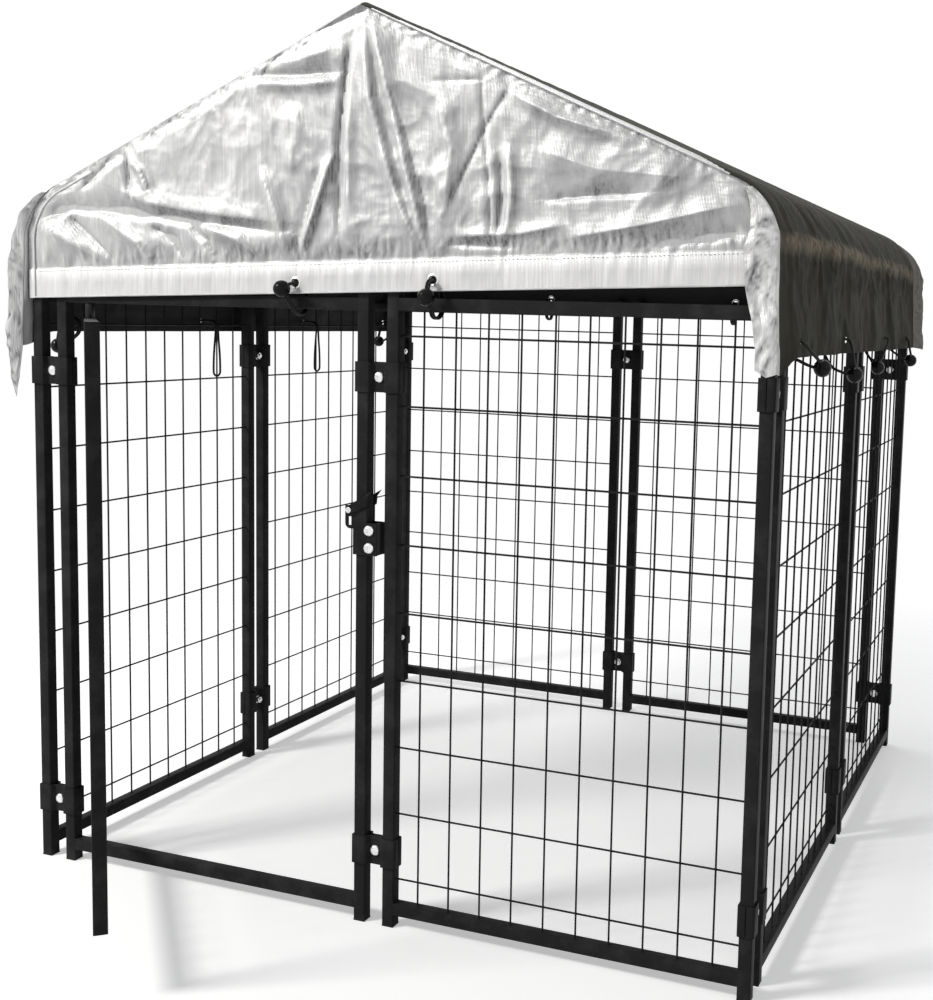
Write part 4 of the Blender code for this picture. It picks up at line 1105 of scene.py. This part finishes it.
def piping_lines():
    """The piping round the front flap's left end, and the one along its lower edge."""
    ridge, *bend = eave_line(-0.0025, 12)
    start = tuple(Vector(bend[0]).lerp(Vector(ridge), 0.12))
    end = [(2 * MIDDLE - x, z) for x, z in (start, *bend, (bend[-1][0], HEM_LEFT + 0.003))]
    places = (0.002, MIDDLE / 2, MIDDLE, SPAN - 0.002)
    return end, [(x, hem_height(x, HEM_LEFT, HEM_RIGHT) + 0.0012) for x in places]


def make_flap(name, node, sign, hem_left, hem_right, creases, eyelets, seed, piping=()):
    """A gable flap at the front (sign -1) or the back (sign 1), with its eyelets and its hem's stitches."""
    y_plane = FLAP_OUT * sign + (SPAN if sign > 0 else 0.0)
    facing = (0.0, sign, 0.0)

    def out(distance):
        return y_plane + sign * distance

    def hem_at(x):
        return hem_height(x, hem_left, hem_right)

    tops = flap_tops(150)
    rows = 120
    grid, heights = [], []
    for x, top in tops:
        hem = hem_at(x)
        levels = [hem, hem + HEM_BAND / 2, hem + HEM_BAND - 0.0012, hem + HEM_BAND + 0.0012]
        levels += [levels[-1] + (top - levels[-1]) * i / rows for i in range(1, rows + 1)]
        swells = [flap_swell(x, z, top, hem, creases, seed) for z in levels]
        grid.append([(x, out(FLAP_GAP + swell), z) for z, swell in zip(levels, swells)])
        heights.append(swells)
    # painted shade and highlights from the flap's creases, as though lit from the upper left
    fold_shading_map = fold_shading_of(heights, SPAN / len(tops) * -sign, 0.30 / rows, 0.0022, 1.35)

    def in_hem(middle):
        return 1 if middle.z < hem_at(middle.x) + HEM_BAND * 0.995 else 0

    finishes = ((SILVER, LINING), (SILVER_HEM_AND_LIT_LIP, LINING))
    cloth = cloth_sheet(name, grid, fold_shading_map, finishes, lambda point: Vector(facing), in_hem)
    holes = [(x, hem_at(x) + EYELET_UP) for x in eyelets]
    pierced(cloth, [((x, y_plane - TUBE, z), (x, y_plane + TUBE, z)) for x, z in holes])
    seam = [(x, out(SEAM_OUT), hem_at(x) + (HEM_BAND - 0.004)) for x in (0.010, SPAN - 0.010)]
    extras = [stitches(f"{name}_stitches_1", seam, facing)]
    for i, (x, z) in enumerate(holes):
        place = (x, out(FLAP_GAP + flap_swell(x, z, 1.2, hem_at(x), creases, seed)), z)
        extras.append(eyelet(f"{name}_eyelet_{i + 1}", place, facing))
    for i, path in enumerate(piping):
        route = smooth_route([(x, out(SEAM_OUT), z) for x, z in path], 6)
        cord = tube_along(f"{name}_piping_{i + 1}", route, 0.0013, 8)
        extras.append(finished(cord, PIPING))
    placed_cloth(cloth, (node,))


def eyelet(name, place, way):
    """A pressed ring round a hole in the cloth."""
    place, way = Vector(place), Vector(way)
    profile = (
        (0.0050, -0.0014), (0.0082, -0.0014), (0.0088, -0.0004), (0.0086, 0.0006), (0.0070, 0.0013),
        (0.0056, 0.0008), (0.0050, -0.0002),
    )
    ring = turned(name, profile, place, place + way, 28)
    faces_where(ring, lambda middle, normal: (middle - place).cross(way).length < 0.0015)
    bpy.ops.mesh.delete(type="FACE")
    edges_where(ring, lambda a, b: all((p - place).cross(way).length < 0.0051 for p in (a, b)))
    bpy.ops.mesh.bridge_edge_loops()
    face_outwards()
    return finished(ring, ZINC)


def stitches(name, line, facing):
    """A row of machine stitches from one point to another."""
    pitch, long, thick = 0.0062, 0.0042, 0.00045
    start, end = Vector(line[0]), Vector(line[1])
    facing = Vector(facing)
    way = (end - start).normalized()
    deselect()
    bpy.ops.mesh.primitive_uv_sphere_add(segments=8, ring_count=5, radius=1.0)
    stitch = added("stitch")
    frame = Matrix((way * long / 2, facing.cross(way) * thick, facing * thick)).transposed().to_4x4()
    count = int((end - start).length / pitch)
    row = [
        copied(stitch, f"stitch {i}", Matrix.Translation(start.lerp(end, (i + 0.5) / count)) @ frame)
        for i in range(count)
    ]
    dropped(stitch)
    return finished(joined(name, row), PIPING)


def roof_line(valance_steps, slope_steps, turns):
    """The roof's line from one valance to the other: x, z and how far it has bent down."""
    ridge, *bend = eave_line(SHEET_LINE, turns)
    right = []
    for i in range(1, slope_steps):
        x, z = (a + (b - a) * (i / slope_steps) for a, b in zip(ridge, bend[0]))
        right.append((x, z, 0.0))
    right += [(x, z, i / (turns - 1)) for i, (x, z) in enumerate(bend)]
    x, z = bend[-1]
    right += [(x, z + (VALANCE_END - z) * i / valance_steps, 1.0) for i in range(1, valance_steps + 1)]
    left = [(2 * MIDDLE - x, z, drop) for x, z, drop in reversed(right)]
    return [*left, (*ridge, 0.0), *right]


def roof_point(x, z, drop, y):
    """A point of the roof sheet, which sags between the end rafters and is creased along the eaves.

    Its lip is shorter over the left half of the front.
    """
    sign = 1 if x > MIDDLE else -1
    across = abs(x - MIDDLE) / MIDDLE
    if y < 0:
        y *= 1 - 0.45 * (1 - drop) * smooth_step(MIDDLE, MIDDLE - 0.12, x)
    v = (y + ROOF_LIP) / (SPAN + 2 * ROOF_LIP)
    sag = 0.010 * sin(pi * v) * sin(pi * min(1.0, across)) * (1 - drop)
    hang = smooth_step(EAVE_HEIGHT, VALANCE_END, z)
    wave = 0.0035 * (1 - cos(2 * pi * 6 * v)) * hang * (drop == 1.0)
    ends = smooth_step(0.0, 0.05, v) * smooth_step(1.0, 0.95, v)
    crush = crumple((x * 0.5, y, z * 0.7 + sign), 0.075, 0.0045)
    crush += crumple((x, y * 1.3, z * 0.5), 0.034, 0.0012)
    off = crush * (0.30 + 0.70 * smooth_step(0.0, 0.4, drop)) * (0.3 + 0.7 * ends)
    eave = exp(-(((z - EAVE_CREASE) / 0.011) ** 2)) * smooth_step(0.3, 0.8, drop) * (0.15 + 0.85 * ends)
    off += eave * (0.0040 + crumple((x, y - z * 0.8, z * 0.8), 0.036, 0.0050))
    below = exp(-(((z - EAVE_CREASE + 0.040) / 0.034) ** 2)) * (drop > 0.9) * ends
    off += below * crumple((x, y * 1.2 - z * 0.55, z * 0.40 + 4.0), 0.046, 0.0060)
    band = 0.0010 * smooth_step(VALANCE_END + VALANCE_BAND + 0.002, VALANCE_END + VALANCE_BAND - 0.002, z)
    past = max(0.0, -y, y - SPAN) / ROOF_LIP
    curl = 0.0055 * past * past * (1 - drop)
    corner = 0.022 * smooth_step(0.055, -ROOF_LIP, y) * hang**2
    out = 0.005 * hang + wave + band + off * drop
    return (x + sign * out, y, z - sag - corner - curl + off * (1 - drop))


def lip_stations(count):
    """Places from the roof's front edge to its back one, closer together on its lips."""
    lip = [-ROOF_LIP + (ROOF_LIP - 0.002) * i / 7 for i in range(7)]
    inner = [-0.002 + (SPAN + 0.004) * i / count for i in range(count + 1)]
    return [*lip, *inner, *[SPAN - y for y in reversed(lip)]]


def make_roof():
    line = roof_line(*FULL_STEPS)
    stations = lip_stations(155)
    grid = [[roof_point(x, z, drop, y) for y in stations] for x, z, drop in line]
    heights = []
    for (x, z, drop), run in zip(line, grid):
        sign = 1 if x > MIDDLE else -1
        heights.append([(p[0] - x) * sign * drop + (p[2] - z) * (1 - drop) for p in run])
    # painted shade in the roof's creases and painted highlights on its crests
    fold_shading_map = fold_shading_of(heights, 0.01, 0.01, 0.0030)
    # painted glints and highlights: raised on crests, along a wavering line at each eave crease, and along
    # the ridge
    for (x, z, drop), run in zip(line, fold_shading_map):
        ridge = exp(-(((x - MIDDLE) / 0.030) ** 2))
        for j, (value, y) in enumerate(zip(run, stations)):
            line_at = EAVE_CREASE - 0.008 + 0.022 * noise.noise(Vector((x * 3.0, y * 4.0, 0.7)))  # height
            glint = exp(-(((z - line_at) / 0.015) ** 2)) * smooth_step(0.2, 0.7, drop)
            glint_flicker = 0.35 + 0.65 * abs(noise.noise(Vector((x * 9.0, y * 14.0, z * 22.0))))
            patchy = smooth_step(-0.75, 0.20, noise.noise(Vector((x, y * 3.6, 8.4))))
            crest = max(0.0, value - 0.5) * (0.22 + 0.85 * glint * patchy)
            run[j] = min(1.0, 0.5 + crest + (0.15 + 0.42 * patchy) * glint * glint_flicker + 0.16 * ridge * glint_flicker)

    slope = eave_line(SHEET_LINE)[1][0] - MIDDLE

    def on_lip(middle):
        past = max(-middle.y, middle.y - SPAN)
        if past < 0.0015:
            return 0
        away = middle.x - MIDDLE
        dark = max(1 - away / DARK_LIP, 1 - (slope - away) / 0.07) if away > 0 else 0
        return 2 if abs(away) > slope or past < ROOF_LIP * dark else 1

    # the lips' inner faces take the paler hem silver, painted lighter against the shade under the lips
    finishes = ((DARK, LINING), (SILVER, SILVER_HEM_AND_LIT_LIP), (DARK, SILVER_HEM_AND_LIT_LIP))
    cloth = cloth_sheet("cover_roof_cloth", grid, fold_shading_map, finishes, away_from_middle, on_lip)
    runs = []
    for side, places in ((-1, LEFT_EYELETS), (1, RIGHT_EYELETS)):
        x = MIDDLE + side * (MIDDLE + VALANCE_OUT)
        runs += [((x - TUBE, y, EYE), (x + TUBE, y, EYE)) for y in places]
    pierced(cloth, runs)
    placed_cloth(cloth, ("cover_roof",))


def wing_point(x, y, z, drop, sign, front, t):
    """A point of a corner wing, which carries the valance past the roof's end; t goes outwards."""
    lower = smooth_step(EAVE_HEIGHT, VALANCE_END, z)

    def between(*values):
        values = (0.0, *values)
        place = t * 3
        i = min(2, int(place))
        return values[i] + (values[i + 1] - values[i]) * (place - i)

    if front and sign > 0:
        reach = WING * drop * between(0.06, 0.50, 1.0) * (1.0 - 0.35 * lower)
        ahead = between(0.0045, 0.0075, 0.0085) * drop
        fall = between(-0.002, 0.003, -0.006) * lower
        return (x - 0.004 * drop * t - reach, y - ahead, z - fall)
    out = WING_OUT * between(0.40, 0.75, 1.0) * drop
    ahead = between(0.006, 0.011, 0.014) * drop
    fall = WING_TAIL * between(1.0, 0.6, 0.0) * lower if front else 0.004 * lower * t
    return (x + sign * out, y + (-ahead if front else ahead), z - fall)


def make_wings():
    line = [p for p in roof_line(*FULL_STEPS) if p[2] > 0.2 and abs(p[0] - MIDDLE) > 0.1]
    steps = 20
    for end, way, y, material in (
        ("front", -1, -ROOF_LIP, SILVER_CORNER),
        ("back", 1, SPAN + ROOF_LIP, GREY),
    ):
        for side, sign in (("left", -1), ("right", 1)):
            facing = Vector((0.0, -1.0, 0.0)) if way < 0 else Vector((sign, 0.0, 0.0))
            grid, heights = [], []
            for x, z, drop in line:
                if (x - MIDDLE) * sign < 0:
                    continue
                edge = roof_point(x, z, drop, y)
                run, swells = [], []
                for i in range(steps + 1):
                    t = i / steps
                    px, py, pz = wing_point(*edge, drop, sign, way < 0, t)
                    crush = crumple((px, py * 2, pz * 0.7), 0.045, 0.0085)
                    crush += crumple((px * 0.5, py, pz * 1.3 + px), 0.020, 0.0016)
                    crush *= smooth_step(0.0, 0.3, t)
                    run.append((px + sign * crush * 0.4, py + way * crush * 0.7, pz))
                    swells.append(crush)
                grid.append(run)
                heights.append(swells)
            # painted shade and highlights from the wing's creases, as though lit from the upper left
            fold_shading_map = fold_shading_of(heights, 0.008, 0.003, 0.0022, 0.9)
            name = f"cover_wing_{end}_{side}"
            cloth = cloth_sheet(name, grid, fold_shading_map, ((material, LINING),), lambda point: facing)
            flat, area = cut_of(grid)
            placed_cloth(cloth)


# Ties


def smooth_route(points, steps):
    points = [Vector(p) for p in points]
    points = [points[0] * 2 - points[1], *points, points[-1] * 2 - points[-2]]
    route = []
    for p0, p1, p2, p3 in zip(points, points[1:], points[2:], points[3:]):
        for j in range(steps):
            t = j / steps
            bend = (2 * p0 - 5 * p1 + 4 * p2 - p3) * t**2 + (3 * p1 - p0 - 3 * p2 + p3) * t**3
            route.append((2 * p1 + (p2 - p0) * t + bend) / 2)
    return [*route, points[-2]]


CORD_RADIUS = 0.002
BALL_RADIUS = 0.0125
BALL_OUT = 0.034
TIE_DROP = 0.024
SLACK = 0.105
SLACK_IN = 0.018
SLACK_ROUND = 0.010
SLACK_BALL_OUT = 0.0335
LEFT_SLACK = (2, 3)
RIGHT_BALLS = (  # out from the panels, down from the valance's edge, and back from the eyelet
    (0.0435, 0.015, 0.050),
    (0.0435, 0.032, -0.043),
    (0.0185, 0.031, -0.064),
    (0.0340, 0.024, 0.0),
)
FRONT_BALLS = ((0.035, 0.0065, -0.010), (0.034, -0.0085, 0.0))  # out, up from the hem, right


def tube_along(name, route, radius, sides):
    """A round cord along a route, with a map on it: across goes round, along goes down its length."""
    shape = bmesh.new()
    layer = shape.loops.layers.uv.new("UVMap")
    up = Vector((0.0, 0.0, 1.0))
    rings, lengths = [], []
    length = 0.0
    side = None
    turn = [2 * pi * j / sides for j in range(sides)]
    for i, point in enumerate(route):
        way = (route[min(i + 1, len(route) - 1)] - route[max(i - 1, 0)]).normalized()
        if side is None:
            side = way.cross(up if abs(way.z) < 0.9 else Vector((1.0, 0.0, 0.0))).normalized()
        side = (side - way * side.dot(way)).normalized()
        other = way.cross(side)
        if i:
            length += (point - route[i - 1]).length
        lengths.append(length / (2 * pi * radius))
        ring = [point + side * radius * cos(a) + other * radius * sin(a) for a in turn]
        rings.append([shape.verts.new(place) for place in ring])
    for i, (one, two) in enumerate(zip(rings, rings[1:])):
        for j in range(sides):
            after = (j + 1) % sides
            face = shape.faces.new((one[j], one[after], two[after], two[j]))
            places = ((j, i), (j + 1, i), (j + 1, i + 1), (j, i + 1))
            for loop, (round_it, down_it) in zip(face.loops, places):
                loop[layer].uv = (round_it / sides, lengths[down_it])
    shape.faces.new(list(reversed(rings[0])))
    shape.faces.new(rings[-1])
    return smoothed(from_shape(name, shape), 60)


def ball_at(name, place, way):
    """A moulded ball with a parting line round it and a recess where the cord goes in."""
    profile = [(0.0028, -BALL_RADIUS * 0.90), (0.0036, -BALL_RADIUS * 0.955)]
    for i in range(3, 18):
        angle = pi * i / 18
        profile.append((BALL_RADIUS * sin(angle), -BALL_RADIUS * cos(angle)))
    middle = len(profile) // 2 + 1
    groove = BALL_RADIUS - 0.0004
    profile[middle:middle + 1] = [
        (BALL_RADIUS, -0.0007), (groove, -0.0003), (groove, 0.0003), (BALL_RADIUS, 0.0007)
    ]
    profile.append((0.0006, BALL_RADIUS))
    place = Vector(place)
    return turned(name, profile, place, place + Vector(way), 28, 50)


def doubled(points):
    """The loop's two strands side by side, out from the ball and back to it."""
    side = CORD_RADIUS * 1.03
    strands = [[(out, up, along + way * side) for out, up, along in points] for way in (1, -1)]
    return strands[0] + strands[1][::-1]


def make_tie(node, ball, points, matrix, slack=False):
    """An elastic loop whose two ends are held in a ball. Points are (outward, up, along the row)."""
    if not slack:
        points = doubled(points)
    route = [matrix @ p for p in smooth_route([(along, -out, up) for out, up, along in points], 7)]
    cord = tube_along(node + "_cord", route, CORD_RADIUS, 12)
    out, up, along = ball
    centre = matrix @ Vector((along, -out, up))
    way = centre - (route[6] + route[-7]) / 2
    sphere = finished(ball_at(node + "_ball", centre, way), BALL)
    finished(cord, ELASTIC, stands_for=(node,))


def side_route(out, up, along):
    """Through the valance's eyelet, round the top level wire and back under the valance to the ball."""
    return [
        (out + 0.002, up + 0.003, along),
        ((out + 0.0290) / 2, (up + EYE) / 2 + 0.001, along * 0.45),
        (0.026, EYE - 0.001, 0.0),
        (0.012, EYE + 0.001, along * 0.1),
        (0.000, EYE + 0.0015, along * 0.3),
        (-0.009, EYE - 0.003, along * 0.5),
        (-0.0115, EYE - 0.013, along * 0.6),
        (-0.007, EYE - 0.024, along * 0.75),
        (0.0065, up + 0.011, along * 0.9),
        (out / 2, up + 0.004, along),
        (out - 0.006, up - 0.001, along),
    ]


def slack_route(out):
    """The ball rests on the eyelet outside, and the loop hangs inside, its strands along the panel."""
    low = EYE - SLACK
    inside = -SLACK_IN
    side = CORD_RADIUS * 1.2
    half = [
        (out - 0.003, EYE, side),
        (0.018, EYE, side),
        (0.004, EYE, side),
        (inside + 0.011, EYE - 0.0008, side * 1.1),
        (inside + 0.0030, EYE - 0.0045, side * 1.2),
        (inside, EYE - 0.014, side * 1.4),
        (inside, EYE - 0.036, SLACK_ROUND * 0.55),
        (inside, low + 0.040, SLACK_ROUND * 0.90),
        (inside, low + SLACK_ROUND, SLACK_ROUND),
        (inside, low + SLACK_ROUND * 0.29, SLACK_ROUND * 0.71),
    ]
    return [*half, (inside, low, 0.0), *[(o, up, -along) for o, up, along in reversed(half)]]


def end_route(out, up, along, eye):
    """Through a gable flap's eyelet, round the top rail and back under the hem to the ball."""
    under = RAIL_TOP - TUBE
    return [
        (out, up + 0.003, along),
        (out - 0.008, eye - 0.003, along * 0.5),
        (0.0135, eye, 0.0),
        (0.003, eye - 0.001, 0.0),
        (-0.008, eye - 0.008, 0.0),
        (-0.0145, RAIL_TOP + 0.002, 0.0),
        (-0.0155, RAIL_TOP - 0.010, 0.0),
        (-0.012, under - 0.003, 0.0),
        (0.000, under - 0.009, 0.0),
        (0.013, under - 0.006, 0.0),
        (0.0190, under + 0.004, along * 0.4),
        (0.0225, up - 0.014, along * 0.8),
        (out - 0.004, up - 0.002, along),
    ]


def make_ties():
    """Elastic loops through the cover's eyelets; two on the left hang slack inside."""
    for number, (y, (out, down, along)) in enumerate(zip(RIGHT_EYELETS, RIGHT_BALLS), 1):
        place = row_matrix(1) @ Matrix.Translation((y, 0.0, 0.0))
        ball = (out, VALANCE_END - down, along)
        make_tie(f"tie_right_{number}", ball, side_route(*ball), place)
    for number, y in enumerate(LEFT_EYELETS, 1):
        place = row_matrix(3) @ Matrix.Translation((SPAN - y, 0.0, 0.0))
        slack = number in LEFT_SLACK
        ball = (SLACK_BALL_OUT, EYE, 0.0) if slack else (BALL_OUT, VALANCE_END - TIE_DROP, 0.0)
        points = slack_route(SLACK_BALL_OUT) if slack else side_route(*ball)
        make_tie(f"tie_left_{number}", ball, points, place, slack)
    for number, (x, (out, up, along)) in enumerate(zip(FRONT_EYELETS, FRONT_BALLS), 1):
        hem = hem_height(x, HEM_LEFT, HEM_RIGHT)
        ball = (out, hem + up, along)
        place = Matrix.Translation((x, 0.0, 0.0))
        make_tie(f"tie_front_{number}", ball, end_route(*ball, hem + EYELET_UP), place)
    for number, x in enumerate(BACK_EYELETS, 1):
        place = row_matrix(2) @ Matrix.Translation((SPAN - x, 0.0, 0.0))
        ball = (BALL_OUT, HEM_BACK, 0.0)
        make_tie(f"tie_back_{number}", ball, end_route(*ball, HEM_BACK + EYELET_UP), place)


for name, node in NODES.items():  # the rafters and the ridge pole are shown as they are
    if name.startswith("rafter_") or name == "ridge_pole" or not node.data.materials:
        node.data.materials.clear()
        node.data.materials.append(PAINT)

make_camera()
make_ties()
make_lights()
make_floor()
make_panels()
make_gate()
make_clamps()
make_from_cad()
make_latch_bolts()
make_roof()
make_flap(
    "cover_front_cloth", "cover_front_flap", -1, HEM_LEFT, HEM_RIGHT, FRONT_CREASES, FRONT_EYELETS, 0.0,
    piping_lines(),
)
make_flap("cover_back_cloth", "cover_back_flap", 1, HEM_BACK, HEM_BACK, BACK_CREASES, BACK_EYELETS, 20.0)
make_wings()
